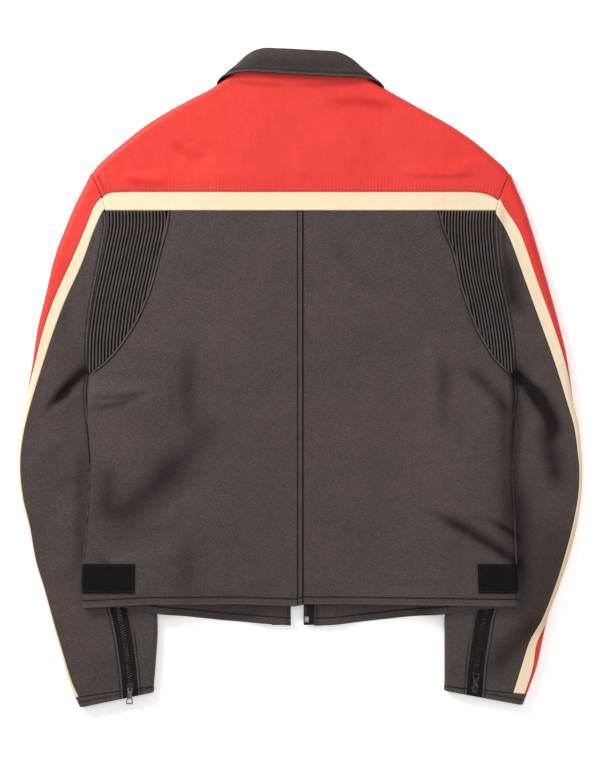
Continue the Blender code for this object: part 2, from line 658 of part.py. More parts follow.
def sleeve_seams(side):
    """The sleeve's seams, each as a function of the row that gives its way round from the outer fold."""

    def half(row):
        return sleeve_girth(side, row)[0]

    def clipped(name):
        return lambda row: np.where(row < ARMPIT_ROW, np.minimum(sleeve_row(side, row)[name], half(row)),
                                    sleeve_row(side, row)[name])

    def back_edge(row):
        """The rear edge of the top panel: the armhole, then the back seam, then the zip."""
        zip_room = ZIP_HALF * ease((row - ZIP_ROW) / 0.02)
        seam = sleeve_row(side, row)["seam"] * (row > ARMPIT_ROW)
        return half(row) - seam - zip_room

    def under_edge(row):
        """The same seam seen from the under panel, counted round the inner fold from the underside."""
        zip_room = ZIP_HALF * ease((row - ZIP_ROW) / 0.02)
        seam = sleeve_row(side, row)["seam"] * (row > ARMPIT_ROW)
        return -half(row) - seam + zip_room

    def red_edge(row):
        return -np.where(row < UNDER_START, half(row), RED_BELOW * (1 - 0.25 * ease((row - 8) / 10)))

    return clipped("cream_in"), clipped("cream_out"), back_edge, under_edge, red_edge, half


def outward_of(side):
    """Rough way out of a sleeve: away from the middle of its thickness."""
    return lambda points: np.stack(
        [np.zeros(points.shape[:2]), np.zeros(points.shape[:2]), points[..., 2] - FOREARM_THICK / 2], -1)


def under_spacing(side):
    """Spacing of the under panel's points: even at the armhole, and close together round the inner fold."""
    seams = sleeve_seams(side)

    def spacing(row, b):
        red_edge, under_edge, half = seams[4](row), seams[3](row), seams[5](row)
        turn = sleeve_girth(side, row)[3] * np.pi / 2
        start, end = -half + turn, -half - np.minimum(turn, 0.55 * np.abs(under_edge + half))
        whole = under_edge - red_edge
        start, end = (start - red_edge) / whole, (end - red_edge) / whole
        tube = np.where(b < 0.35, b / 0.35 * start,
                        np.where(b < 0.7, start + (b - 0.35) / 0.35 * (end - start),
                                 end + (b - 0.7) / 0.3 * (1 - end)))
        share = ease((row - ARMPIT_ROW) * 2)
        return b + share * (tube - b)

    return spacing


def sleeve(side, red, cream, leather):
    cream_in, cream_out, back_edge, under_edge, red_edge, half = sleeve_seams(side)
    band = len(SLEEVE[side]) - 2
    up, out = (0, 0, 1), outward_of(side)
    shell(f"sleeve_red_{side}", patch_surface(side, red_edge, cream_out), stations(side, 0, band),
          levels(0, (0.45, 2), (0.6, 1), (1, 4)), red, out)
    start = CREAM_START["out"] + 0.3
    shell(f"sleeve_stripe_{side}", patch_surface(side, cream_out, cream_in), stations(side, start, band),
          np.linspace(0, 1, 4), cream, out)
    start = CREAM_START["in"] + 0.3
    shell(f"sleeve_back_{side}", patch_surface(side, cream_in, back_edge), stations(side, start, band),
          levels(0, (0.07, 1), (1, 6)), leather, up)
    shell(f"sleeve_under_{side}", patch_surface(side, red_edge, under_edge, under_spacing(side)),
          stations(side, UNDER_START, band), levels(0, (0.35, 2), (0.7, 4), (1, 1)), leather, out)

    def past_zip(row):
        return -half(row) - sleeve_row(side, row)["seam"] + ZIP_HALF

    def before_zip(row):
        return half(row) - sleeve_row(side, row)["seam"] - ZIP_HALF

    shell(f"cuff_band_{side}", patch_surface(side, past_zip, before_zip), stations(side, band, band + 1),
          levels(0, (0.12, 2), (0.24, 3), (0.49, 2), (0.62, 4), (1, 3)), leather, out)


def cuff_tape(side, finish):
    """The zip's tape, a little below the leather's face, from its top end to the cuff's edge."""
    half = sleeve_seams(side)[-1]

    def edge(sign):
        return lambda row: half(row) - sleeve_row(side, row)["seam"] + sign * ZIP_HALF

    shell(f"cuff_zip_tape_{side}", patch_surface(side, edge(-1), edge(1)),
          stations(side, ZIP_ROW + 0.02, len(SLEEVE[side]) - 1), np.linspace(0, 1, 3), finish, (0, 0, 1),
          -0.6 * MM, -1.8 * MM)


# ---------------------------------------------------------------- collar


def collar_surface(a, b):
    """The collar: b goes round it from the left front end (0) to the right (1), a from seam to leaf edge."""
    table = dict(zip(COLLAR_COLUMNS, np.array(COLLAR, float).T))
    place = (1 - np.abs(np.clip(b, 0, 1) * 2 - 1)) * (len(COLLAR) - 1)
    mirror = np.where(b > 0.5, -1.0, 1.0)
    at = {name: through(np.arange(len(COLLAR)), table[name], place) for name in COLLAR_COLUMNS}

    def point(name):
        return np.stack([at[f"{name}_x"] * mirror, at[f"{name}_y"], at[f"{name}_z"]], -1) * MM

    seam, roll, edge = point("seam"), point("roll"), point("edge")
    angle = np.radians(at["out"])
    out = np.stack([np.cos(angle) * mirror, np.zeros_like(angle), np.sin(angle)], -1)
    rise = (0.3 + 1.7 * ease((place - 4) / 5))[..., None] * MM * out
    stops = (seam, seam + 0.78 * (roll - seam) - rise, roll, roll + 0.2 * (edge - roll) + rise, edge)
    at_a = (0, 0.34, 0.47, 0.6, 1)
    found = sum(s * w[..., None] for s, w in zip(stops, weights(at_a, a)))
    height = np.maximum(found[..., 2], WALL / 2 + 0.2 * MM)
    return found[..., 0], found[..., 1] + COLLAR_TILT * np.clip(found[..., 0], -TILTED_TO, TILTED_TO), height


def weights(keys, at):
    """How much each stop counts at `at` on the smooth curve through stops at `keys`."""
    return [through(keys, np.eye(len(keys))[i], at) for i in range(len(keys))]


def collar(finish):
    along = levels(0, (0.5, 14), (1, 14))
    over = levels(0, (0.34, 1), (0.6, 4), (1, 2))
    surface = collar_surface
    shell("collar", surface, over, along, finish, (0, 1, 0), WALL / 2, -WALL / 2)


# ---------------------------------------------------------------- zips


def prism(bm, outline, holes, low, high):
    """A plate in the XY plane with holes through it, from low to high."""
    edges = []
    for loop in (outline, *holes):
        ring = [bm.verts.new((x, y, low)) for x, y in loop]
        edges += [bm.edges.new(pair) for pair in zip(ring, ring[1:] + ring[:1])]
    filled = bmesh.ops.triangle_fill(bm, use_beauty=True, use_dissolve=False, edges=edges)
    faces = [f for f in filled["geom"] if isinstance(f, bmesh.types.BMFace)]
    raised = bmesh.ops.extrude_face_region(bm, geom=faces)
    tops = [v for v in raised["geom"] if isinstance(v, bmesh.types.BMVert)]
    bmesh.ops.translate(bm, verts=tops, vec=(0, 0, high - low))
    bmesh.ops.recalc_face_normals(bm, faces=bm.faces)


def box_loop(x0, x1, y0, y1):
    return [(x0, y0), (x1, y0), (x1, y1), (x0, y1)]


# The slider's own frame: its origin on the pull's axis, x across the zip, y along it to the cuff, z up.
AXIS_ABOVE_PLATE = 1.3 * MM
PLATE_THICK = 1.6 * MM
ARCH_WIDTH, ARCH_INSIDE, ARCH_WALL = 2.4 * MM, 1.15 * MM, 1.0 * MM
PULL_THICK = 1.2 * MM


def cuff_slider(side, place, finish):
    name = f"cuff_zip_slider_{side}"
    bm = bmesh.new()
    right_half = [(3.2, -6.5), (4.2, -3.5), (4.2, 1), (3.2, 5.5)]
    shield = right_half + [(-x, y) for x, y in right_half[::-1]]
    plate_top = -AXIS_ABOVE_PLATE
    prism(bm, [(x * MM, y * MM) for x, y in shield], [], plate_top - PLATE_THICK, plate_top)
    slider = add_object(name, bm, finish)
    bm = bmesh.new()
    turn = np.linspace(0, np.pi, 7)
    outside, foot = ARCH_INSIDE + ARCH_WALL, plate_top - 0.6 * MM
    outline = [(outside * np.cos(t), outside * np.sin(t)) for t in turn]
    outline += [(-outside, foot), (-ARCH_INSIDE, foot)]
    outline += [(-ARCH_INSIDE * np.cos(t), ARCH_INSIDE * np.sin(t)) for t in turn]
    outline += [(ARCH_INSIDE, foot), (outside, foot)]
    prism(bm, outline, [], -ARCH_WIDTH / 2, ARCH_WIDTH / 2)
    upright = Matrix(((0, 0, 1, 0), (1, 0, 0, 0), (0, 1, 0, 0), (0, 0, 0, 1)))
    bmesh.ops.transform(bm, verts=bm.verts, matrix=upright)
    arch = add_object(f"{name}_arch", bm, finish)
    arch.hide_render, arch.display_type = True, "WIRE"
    union = slider.modifiers.new("arch", "BOOLEAN")
    union.operation, union.object = "UNION", arch
    for made in (slider, arch):
        made.matrix_world = place


def cuff_pull(side, place, finish):
    """The pull: a bar that turns in the slider's arch, a narrow tab, and a ring that widens to its end."""
    bm = bmesh.new()
    outline = [(-2.9, -0.6), (2.9, -0.6), (2.9, 11), (3.4, 12.4), (4.4, 20), (-4.4, 20), (-3.4, 12.4),
               (-2.9, 11)]
    for_arch = box_loop(-1.7, 1.7, 0.6, 3.2)
    ring = [(-2.2, 13.6), (2.2, 13.6), (3.1, 18.5), (-3.1, 18.5)]
    scaled = [[(x * MM, y * MM) for x, y in loop] for loop in (outline, for_arch, ring)]
    prism(bm, scaled[0], scaled[1:], -PULL_THICK / 2, PULL_THICK / 2)
    pull = add_object(f"cuff_zip_pull_{side}", bm, finish)
    pull.matrix_world = place


SLIDER_ROW = {"left": 17.88, "right": 18.95}
SLIDER_TURN = {"left": -7, "right": 0}  # degrees from the zip's own line, seen from above
TAPE_TOP, TAPE_BOTTOM = 300 * MM, -309 * MM  # of the front zip
SLIDER_FOOT = 0.4 * MM  # height of the front slider's lowest face
SLIDER_Y = -262 * MM


def cuff_zip(side, tape, metal):
    cuff_tape(side, tape)
    half = sleeve_seams(side)[-1]
    row = np.array([[SLIDER_ROW[side]]])
    near = 0.1

    def centre(at):
        q = half(at) - sleeve_row(side, at)["seam"]
        return np.array([float(v[0, 0]) for v in sleeve_surface(side)(at, q)])

    here = centre(row)
    along = centre(row + near) - centre(row - near)
    along[2] = 0
    along /= np.linalg.norm(along)
    along = np.array(Matrix.Rotation(np.radians(SLIDER_TURN[side]), 3, "Z")) @ along
    up = np.array((0.0, 0.0, 1.0))
    across = np.cross(along, up)
    here[2] += -0.6 * MM + SEAM_GAP + PLATE_THICK + AXIS_ABOVE_PLATE
    place = Matrix.Identity(4)
    for k, axis in enumerate((across, along, up)):
        place.col[k] = (*axis, 0)
    place.col[3] = (*here, 1)
    cuff_slider(side, place, metal)
    folded_up = Matrix.Rotation(np.pi, 4, "Z") if side == "right" else Matrix.Identity(4)
    cuff_pull(side, place @ folded_up, metal)
    print(f"{side} pull axis", [round(float(v), 5) for v in here], "along x", np.round(across, 5).tolist())


def front_zip(tape, metal):
    """The open front zip: a tape below each front's edge, the end box and the slider on the right one."""
    ends = {"left": (-14 * MM, -36 * MM), "right": (4 * MM, 27 * MM)}
    for side, (near, far) in ends.items():

        def surface(a, b, near=near, far=far):
            x = near + b * (far - near)
            y = TAPE_TOP + a * (TAPE_BOTTOM - TAPE_TOP)
            return x, y, body_levels(x, y)[0]

        shell(f"front_zip_tape_{side}", surface, np.linspace(0, 1, 9), np.linspace(0, 1, 3), tape, (0, 0, -1),
              1.5 * MM, 0.3 * MM)
    above = ZIP_LIFT - 0.3 * MM + SEAM_GAP
    below = ZIP_LIFT - 1.5 * MM - SEAM_GAP
    plate = 1.6 * MM
    bm = bmesh.new()
    prism(bm, box_loop(5.2 * MM, 10.4 * MM, -305.5 * MM, -298.5 * MM), [], above, above + 2 * MM)
    add_object("front_zip_box", bm, metal)
    bm = bmesh.new()
    outline = [(1.9, above + plate), (1.9, SLIDER_FOOT), (8.0, SLIDER_FOOT), (8.0, below - plate),
               (14.0, below - plate), (14.0, below), (3.7, below), (3.7, above), (14.0, above),
               (14.0, above + plate)]
    outline = [(x * MM, z) for x, z in outline]
    prism(bm, outline, [], -7 * MM, 7 * MM)
    upright = Matrix(((1, 0, 0, 0), (0, 0, 1, SLIDER_Y), (0, 1, 0, 0), (0, 0, 0, 1)))
    bmesh.ops.transform(bm, verts=bm.verts, matrix=upright)
    add_object("front_zip_slider", bm, metal)


# ---------------------------------------------------------------- the jacket


def main():
    for existing in list(bpy.data.objects):
        bpy.data.objects.remove(existing, do_unlink=True)
    red = material("red leather", RED, 0.5)
    cream = material("cream leather", CREAM, 0.5)
    leather = material("brown-black leather", LEATHER, 0.55)
    ribbed = material("ribbed stretch leather", RIBBED, 0.55)
    black = material("black tape", BLACK, 0.9)
    metal = material("gunmetal", GUNMETAL, 0.35, 1.0)
    back_panels(leather)
    stretch_panels(ribbed)
    shell("back_stripe", stripe_surface, np.linspace(0, 1, 3), np.linspace(0, 1, 25), cream, (0, 0, 1))
    back_yoke(red)
    front_yokes(red)
    front_panels(leather)
    collar(leather)
    hook_patches(black)
    front_zip(black, metal)
    for side in SIDES:
        sleeve(side, red, cream, leather)
        cuff_zip(side, black, metal)
    bpy.context.view_layer.update()


main()
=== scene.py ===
# %% [markdown]
# # A leather motorcycle jacket, laid flat with its back up
#
# In this notebook you dress a jacket that already exists as plain solids, the frame. The frame decides how big
# the jacket is and where each piece lies. You build each leather piece again as a thin wall with thousands of
# points, so that it can carry folds, rolled seams and rows of stitching, and you write its materials as nodes.
#
# +X is the jacket's right-hand side as it lies, +Y its collar and +Z up. Everything is in metres.

import bpy
import numpy as np
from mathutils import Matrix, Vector


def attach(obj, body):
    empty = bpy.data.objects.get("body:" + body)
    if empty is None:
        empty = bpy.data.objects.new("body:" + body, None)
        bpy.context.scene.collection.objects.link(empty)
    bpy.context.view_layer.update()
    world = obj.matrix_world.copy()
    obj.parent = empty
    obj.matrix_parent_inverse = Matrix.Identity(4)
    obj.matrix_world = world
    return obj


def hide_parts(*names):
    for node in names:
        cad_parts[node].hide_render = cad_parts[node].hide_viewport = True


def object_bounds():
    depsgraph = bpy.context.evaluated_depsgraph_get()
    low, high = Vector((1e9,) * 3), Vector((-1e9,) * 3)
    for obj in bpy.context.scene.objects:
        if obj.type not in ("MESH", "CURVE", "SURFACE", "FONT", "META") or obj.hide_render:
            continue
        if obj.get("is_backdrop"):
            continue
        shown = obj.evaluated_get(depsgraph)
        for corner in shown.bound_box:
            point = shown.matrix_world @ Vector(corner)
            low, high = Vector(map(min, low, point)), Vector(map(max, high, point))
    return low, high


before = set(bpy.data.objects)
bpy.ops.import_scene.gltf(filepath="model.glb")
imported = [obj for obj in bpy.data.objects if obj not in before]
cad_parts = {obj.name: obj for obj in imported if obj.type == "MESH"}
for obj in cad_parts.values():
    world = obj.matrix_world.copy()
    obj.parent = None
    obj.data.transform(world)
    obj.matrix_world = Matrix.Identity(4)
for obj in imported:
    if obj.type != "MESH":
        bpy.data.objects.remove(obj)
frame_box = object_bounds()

for axis, low, high in zip("xyz", *frame_box):
    print(f"{axis}: {low * 1000:.1f} to {high * 1000:.1f} mm")

# %% [markdown]
# ## The jacket's measurements
#
# These tables are the pattern. They list where each seam runs on the flat jacket, in millimetres from a point on
# the floor below the middle of it. They are the same tables that the solids were made from, so every piece that
# you make fits the frame.

# %% Heights and thicknesses
MM = 0.001
WALL = 2.0 * MM  # leather with its backing
TOP = 16.5 * MM  # the back, where only the fronts lie below it
SLEEVE_LIFT = 14.6 * MM  # the fronts, where a sleeve lies below them
SIDE_RISE = 7.0 * MM  # how much higher the back lies over a sleeve
ZIP_LIFT = 5.5 * MM  # the fronts beside the zip and above the collar's front leaf
ARMPIT_Y = 4 * MM
STRIPE_BOTTOM = 209 * MM
FRONT_YOKE_Y = 200 * MM
CENTRE_BACK = 3 * MM
BACK_HEM, FRONT_HEM = -284 * MM, -300 * MM
NECK_LEVEL = 388 * MM
FRONT_EDGE = {"left": -12 * MM, "right": 17 * MM}
RIB_COUNT = 17
SIDES = {"left": -1, "right": 1}
print("the leather is", WALL / MM, "mm thick, and the back lies", TOP / MM, "mm above the floor")

# %% Seams and folds of the body
# Armhole seam, from the shoulder to the armpit: x, y in mm.
ARMHOLE = {
    "left": [(-260.5, 254.5), (-254, 240), (-247, 224), (-243.5, 209), (-242.5, 190), (-246.5, 165),
             (-253, 130), (-260.5, 90), (-265, 50), (-266, 4)],
    "right": [(260.5, 254.5), (253.8, 240), (248, 224), (244, 209), (242.5, 190), (243.8, 165),
              (248.5, 125), (256, 90), (262.5, 50), (266, 4)],
}
# Curved seam between the stretch panel and the back, from the stripe to the armpit: x, y in mm.
CURVED_SEAM = {
    "left": [(-165.5, 209), (-168, 190), (-176, 160), (-190, 108), (-213, 60), (-238, 27), (-266, 4)],
    "right": [(174.5, 209), (181, 185), (189.5, 165), (205, 106), (228, 50), (247, 21), (266, 4)],
}
# Side fold, from the armpit to the hem: y, x in mm.
SIDE_FOLD = {
    "left": [(4, -266), (-52, -265.5), (-112, -262), (-165, -264), (-228, -269.5), (-312, -271.5)],
    "right": [(4, 266), (-52, 264.5), (-112, 263), (-165, 265), (-228, 268), (-312, 271.5)],
}
# Shoulder fold, from the armhole to the neck: x, y in mm.
SHOULDER_FOLD = {
    "left": [(-260.5, 254.5), (-255.5, 262.3), (-245.5, 272.6), (-223, 292), (-198, 312), (-167, 332),
             (-129, 352), (-116, 358.3), (-105, 365.2), (-95, 372.8), (-86, 379.5)],
    "right": [(260.5, 254.5), (255, 262.3), (243.5, 272.8), (221, 292), (193, 312), (158, 332),
              (121, 352), (108, 359.2), (96.5, 366.5), (86, 373.5)],
}
# Back neck seam between the two shoulder folds: x, y in mm.
BACK_NECK = [(-86, 379.5), (-74, 384), (-62, 386), (-30, 388.5), (0, 387.8), (30, 386.7), (62, 382.2),
             (74, 379), (86, 373.5)]
# Front neck seam from the shoulder fold to the front edge: x, y in mm.
FRONT_NECK = {
    "left": [(-86, 379.5), (-78, 362), (-61, 340), (-36.5, 321.5), (-12, 312.8)],
    "right": [(86, 373.5), (77, 357), (61, 336.5), (36.5, 319.3), (17, 313)],
}
# Top seam of the stripe, which rounds off at both ends: x, y in mm.
STRIPE_LINE = [(-249, 223.5), (-246.9, 225.9), (-244.4, 228), (-240.6, 229.9), (-234, 231.2), (-213, 232),
               (208, 232), (224, 230.8), (234.4, 228), (241.9, 224.8), (249.5, 220.6)]
# Hems: x, y in mm.
BACK_HEM_LINE = [(-272, -287), (-188, -282.5), (-76, -282.5), (-7, -285), (4, -282.5), (124, -283),
                 (272, -285)]
FRONT_HEM_LINE = [(-272, -286), (-219, -286), (-178, -294.5), (-143, -298.5), (-95, -303.5),
                  (-44, -307.5), (-12, -309.5),
                  (17, -310), (41, -309), (132, -299), (179, -295), (212, -289), (272, -286)]

# %% Sleeves
# Sleeves, a row for each line across one, from the shoulder point to the cuff.
# outer: the outer fold. far: the armhole, and past the armpit the inner fold. cream_in, cream_out: the
# stripe's two seams, as distances round the leather from the outer fold, negative on the underside.
# seam: the back seam's distance from the inner fold. thin: thickness at the inner fold. All in mm.
SLEEVE_COLUMNS = ("outer_x", "outer_y", "far_x", "far_y", "cream_in", "cream_out", "seam", "thin")
SLEEVE = {
    "left": [
        (-262, 255.5, -259, 250, 48, 34, 0, 16.5),
        (-270, 239, -247, 224, 46, 30, 0, 16.5),
        (-280, 220, -243.5, 207, 40.5, 28, 0, 16.5),
        (-292, 192, -247, 178, 40, 28.8, 0, 16.5),
        (-307, 152, -256, 136, 40.3, 26.8, 0, 16.5),
        (-319, 102, -262, 85, 30.6, 16.9, 0, 16.5),
        (-329, 60, -265, 40, 25.2, 12.6, 0, 14),
        (-335.5, 15, -266.4, 4, 17.4, 7, 0, 6.4),
        (-343, -28, -264.5, -14, 12.6, 0.8, 5, 6.4),
        (-350, -70, -261, -38, 8.5, -5.5, 8, 8),
        (-353, -110, -254, -64, 6.8, -7.2, 13, 10.5),
        (-349, -150, -241, -104, 6.2, -8, 21, 12.5),
        (-340, -186, -229, -146, 5.4, -8.6, 30, 13.5),
        (-332, -228, -214, -195, 4.6, -9.4, 40, 13.5),
        (-321, -265, -200, -232, 4.8, -9.2, 50, 13.5),
        (-311, -303, -182, -270, 5.6, -8.4, 53, 13.5),
        (-300, -342, -178.5, -312, 6.2, -7.8, 47, 13.5),
        (-290, -378, -180.8, -355, 7.4, -6.6, 38.5, 13.5),
        (-281.5, -399, -183.3, -385, 8.6, -5.4, 33, 13),
        (-275, -411.5, -183.6, -392.5, 8.6, -5.4, 32.5, 13),
    ],
    "right": [
        (262.5, 255, 259, 250, 48, 34, 0, 16.5),
        (269, 239, 248.5, 224, 46, 30, 0, 16.5),
        (279, 216, 243.5, 204, 41.5, 27.8, 0, 16.5),
        (289.6, 184, 244.5, 170, 35.2, 20, 0, 16.5),
        (306.2, 128, 254, 113, 31.5, 17, 0, 16.5),
        (319.2, 82, 261.5, 66, 28, 13.5, 0, 16.5),
        (330, 40, 265, 27, 23.8, 9.9, 0, 14),
        (336, 7, 266.4, 4, 19, 5.8, 0, 6.4),
        (340.5, -28, 264.5, -18, 13.2, 1.5, 5, 6.4),
        (348.2, -62, 260, -40, 11, -3, 8, 8),
        (351.6, -95, 251, -70, 9.5, -4.5, 13, 10.5),
        (352.6, -118, 242, -98, 8.4, -5.6, 21, 12.5),
        (351, -150, 230, -138, 8.6, -5.4, 30, 13.5),
        (345, -188, 217, -180, 9.8, -4.2, 40, 13.5),
        (335, -226, 204, -220, 10, -4, 50, 13.5),
        (324, -259, 192, -256, 9.6, -4.4, 55, 13.5),
        (309, -300, 181, -293, 10.5, 0.6, 53, 13.5),
        (302, -330.5, 180, -322, 20, 10.2, 49, 13.5),
        (295, -362, 180, -354, 23.2, 8.4, 44, 13.5),
        (283, -395, 180, -385, 21.5, 6.5, 41.5, 13),
        (277, -408.5, 180, -390.5, 21.5, 6.5, 41, 13),
    ],
}
ARMPIT_ROW = 7
CREAM_START = {"out": 1, "in": 2}  # the rows where the stripe's seams run into the armhole
ZIP_ROW = 14.6  # the sleeve's row where the cuff zip starts
ZIP_HALF = 9.2 * MM
SLEEVE_THICK = 16.5 * MM  # at the armhole
FOREARM_THICK = 13.5 * MM
RED_BELOW = 59 * MM  # how far the red piece goes round below a sleeve
UNDER_START = 5  # the row from which the dark under piece has a place between it and the armhole

# %% Collar table
# Collar, a row for each section from the left front end to the centre back. seam: where the stand is
# sewn on. roll: the fold at the top. edge: the leaf's free edge. out: the way out from stand to leaf, in
# degrees from +X towards +Z, in the plane across the neck. Middle of the wall, in mm.
COLLAR_COLUMNS = ("seam_x", "seam_y", "seam_z", "roll_x", "roll_y", "roll_z", "edge_x", "edge_y", "edge_z",
                  "out")
COLLAR = [
    (-12, 313.3, 6.5, -14, 336, 4.4, -40, 286, 1.5, 270),
    (-36, 321.5, 6.5, -37, 346, 4.4, -66, 300, 1.5, 270),
    (-59.5, 339.5, 6.4, -62, 359, 4.4, -92, 322, 1.5, 265),
    (-71.5, 357.5, 6.2, -74, 370, 4.6, -101, 343, 1.8, 255),
    (-73.4, 366.3, 8, -80, 376.5, 6.4, -102, 354, 4, 230),
    (-74.2, 371.3, 10, -84, 380, 11, -104.5, 362.5, 9.5, 200),
    (-73.8, 375.6, 12.5, -82, 384, 15.5, -101, 369, 15.5, 160),
    (-71.6, 380.6, 14.8, -75.5, 390.5, 18.5, -88, 374.6, 20, 125),
    (-63.5, 385.8, 15.5, -63, 401, 19.8, -71, 377.6, 22.2, 100),
    (-45, 388.2, 15.5, -46, 408, 20.5, -50, 377.6, 23.2, 90),
    (-22, 389.1, 15.5, -22, 408.6, 20.5, -24, 377.4, 23.4, 90),
    (0, 389.2, 15.5, 0, 408.4, 20.5, 0, 377.2, 23.4, 90),
]
COLLAR_TILT = -0.055  # its right side lies a little lower than its left
TILTED_TO = 60 * MM
print(len(SLEEVE["left"]), "rows to a sleeve,", len(COLLAR), "to half the collar")


# %% [markdown]
# ## Curves
#
# A panel's edge is a smooth curve through the points of a table. Each function below takes whole arrays, so it
# works out every point of a panel at once.

# %% Smooth curves
def ease(t):
    """0 below 0, 1 above 1, and a smooth step between."""
    t = np.clip(t, 0.0, 1.0)
    return t * t * (3 - 2 * t)


def bell(d, at, wide):
    """1 where d is `at`, and dying away on both sides of it."""
    return np.exp(-(((d - at) / wide) ** 2))


def unit(vectors):
    """The same directions, each 1 long."""
    return vectors / np.maximum(np.linalg.norm(vectors, axis=-1, keepdims=True), 1e-30)


def through(keys, values, at):
    """A smooth curve through table rows: cubic pieces whose slopes come from the neighbouring rows."""
    keys, values = np.asarray(keys, float), np.asarray(values, float)
    at = np.clip(at, keys[0], keys[-1])
    slopes = np.gradient(values, keys)
    i = np.clip(np.searchsorted(keys, at, side="right") - 1, 0, len(keys) - 2)
    step = keys[i + 1] - keys[i]
    t = (at - keys[i]) / step
    return ((1 + 2 * t) * (1 - t) ** 2 * values[i] + t * (1 - t) ** 2 * step * slopes[i]
            + t * t * (3 - 2 * t) * values[i + 1] + t * t * (t - 1) * step * slopes[i + 1])


def lengths_along(points):
    """The way run along a line of points, starting from 0."""
    return np.concatenate([[0], np.cumsum(np.linalg.norm(np.diff(points, axis=0), axis=1))])


def at_lengths(rows, along, at):
    """Rows of numbers at the lengths `at`, from the rows at the lengths `along`."""
    return np.stack([np.interp(at, along, column) for column in rows.T], axis=1)


def line(points, count=90):
    """`count` points evenly spaced along the smooth curve through a list of x, y in mm."""
    points = np.array(points, float) * MM
    along = lengths_along(points)
    at = np.linspace(0, along[-1], count)
    return np.stack([through(along, column, at) for column in points.T], axis=1)


def even(dense, count=240):
    """A line of points again, evenly spaced."""
    along = lengths_along(dense)
    return at_lengths(dense, along, np.linspace(0, along[-1], count))


def distance(x, y, dense):
    """Distance from points to a curve: the least distance to any of its short straight steps."""
    a, run = dense[:-1], np.diff(dense, axis=0)
    px, py = np.asarray(x)[..., None] - a[:, 0], np.asarray(y)[..., None] - a[:, 1]
    t = np.clip((px * run[:, 0] + py * run[:, 1]) / (run**2).sum(axis=1), 0, 1)
    return np.sqrt((px - t * run[:, 0]) ** 2 + (py - t * run[:, 1]) ** 2).min(axis=-1)


def lines_of(table):
    return {side: line(points) for side, points in table.items()}


ARMHOLE_LINE, CURVED_LINE, SHOULDER_LINE = lines_of(ARMHOLE), lines_of(CURVED_SEAM), lines_of(SHOULDER_FOLD)
SIDE_LINE = lines_of({side: [(x, y) for y, x in rows] for side, rows in SIDE_FOLD.items()})
BODY_FOLDS = [*SHOULDER_LINE.values(), *SIDE_LINE.values()]
SLEEVE_ROWS = {side: dict(zip(SLEEVE_COLUMNS, np.array(rows, float).T * MM)) for side, rows in SLEEVE.items()}
print("the left armhole seam is", round(lengths_along(ARMHOLE_LINE["left"])[-1] / MM), "mm long")


# %% [markdown]
# ## Folds
#
# Leather that lies flat still has soft rolls and creases in it. Each row of a fold table is one of them: a rounded
# ridge along a bent line, or a trough where its height is negative. On top of that comes a slow, low waviness, the
# way that a hide never lies quite flat.

# %% Folds of the body and the sleeves
# Columns, in mm: x and y of both ends of a fold, how far it bends sideways, its width and its height.
BACK_FOLDS = [
    (-262, -24, -198, -27, 0, 10, -1.4),
    (-144, 2, -146, -76, 0, 22, -1.2),
    (-112, -58, -244, -182, 0, 30, 1.5),
    (-125, -190, -262, -226, 0, 22, -1.3),
    (38, 190, 118, 92, 0, 26, -0.6),
    (163, 190, 248, 12, 0, 14, -1),
    (162, 58, 188, -92, 0, 24, 1),
    (180, -178, 268, -228, 0, 18, -1.4),
    (-60, -140, -20, -250, 0, 30, 0.9),
    (60, -120, 130, -250, 0, 34, 0.9),
    (24, 341, 130, 329, 0, 16, -1.1),
    (125, 258, 232, 260, 0, 12, 1.0),
    (-226, 252, -150, 248, 0, 12, 0.9),
    (-160, 297, -108, 272, 0, 18, -1),
]
FINE_FOLDS = [
    # left back: the crease below the armpit, the trough beside it, the broad roll across the waist
    (-264, -27, -178, -18, 3, 4.5, -0.9),
    (-262, -20, -190, -12, 4, 7, 0.7),
    (-156, 12, -160, -70, 0, 12, -0.6),
    (-128, 0, -132, -60, 0, 10, 0.5),
    (-120, -66, -250, -176, -8, 14, 0.8),
    (-98, -92, -232, -208, -6, 16, -0.9),
    (-262, -208, -140, -176, 6, 12, -0.5),
    (-262, -238, -190, -214, 4, 10, 0.6),
    (-236, 4, -210, -16, 3, 5, 0.5),
    (-226, 12, -200, -8, 3, 5, -0.4),
    # right back
    (38, 192, 120, 92, 12, 12, -0.3),
    (166, 200, 252, 4, -22, 8, -0.9),
    (155, 190, 238, 0, -22, 9, 0.7),
    (160, 62, 190, -30, 6, 12, 0.6),
    (182, -176, 266, -226, -5, 8, -0.9),
    (196, -160, 266, -200, -5, 9, 0.6),
    (250, -20, 206, -44, 4, 7, -0.5),
    # along the centre and the hem
    (-30, 180, -34, 60, 4, 16, 0.3),
    (30, 0, 44, -140, 6, 20, -0.4),
    (-80, -255, -20, -245, 3, 9, 0.4),
    (80, -250, 170, -262, 3, 9, -0.4),
    # yoke
    (24, 343, 130, 331, -5, 9, -0.8),
    (36, 350, 116, 342, -4, 8, 0.5),
    (120, 258, 232, 260, 5, 7, 0.6),
    (128, 251, 230, 252, 3, 5, -0.4),
    (150, 296, 226, 272, 6, 9, -0.5),
    (-226, 254, -150, 248, 4, 7, 0.5),
    (-220, 264, -168, 262, 4, 6, -0.4),
    (-166, 300, -106, 270, 6, 9, -0.7),
    (-150, 312, -90, 290, 5, 10, 0.5),
    (-20, 262, 60, 256, 3, 8, 0.35),
]
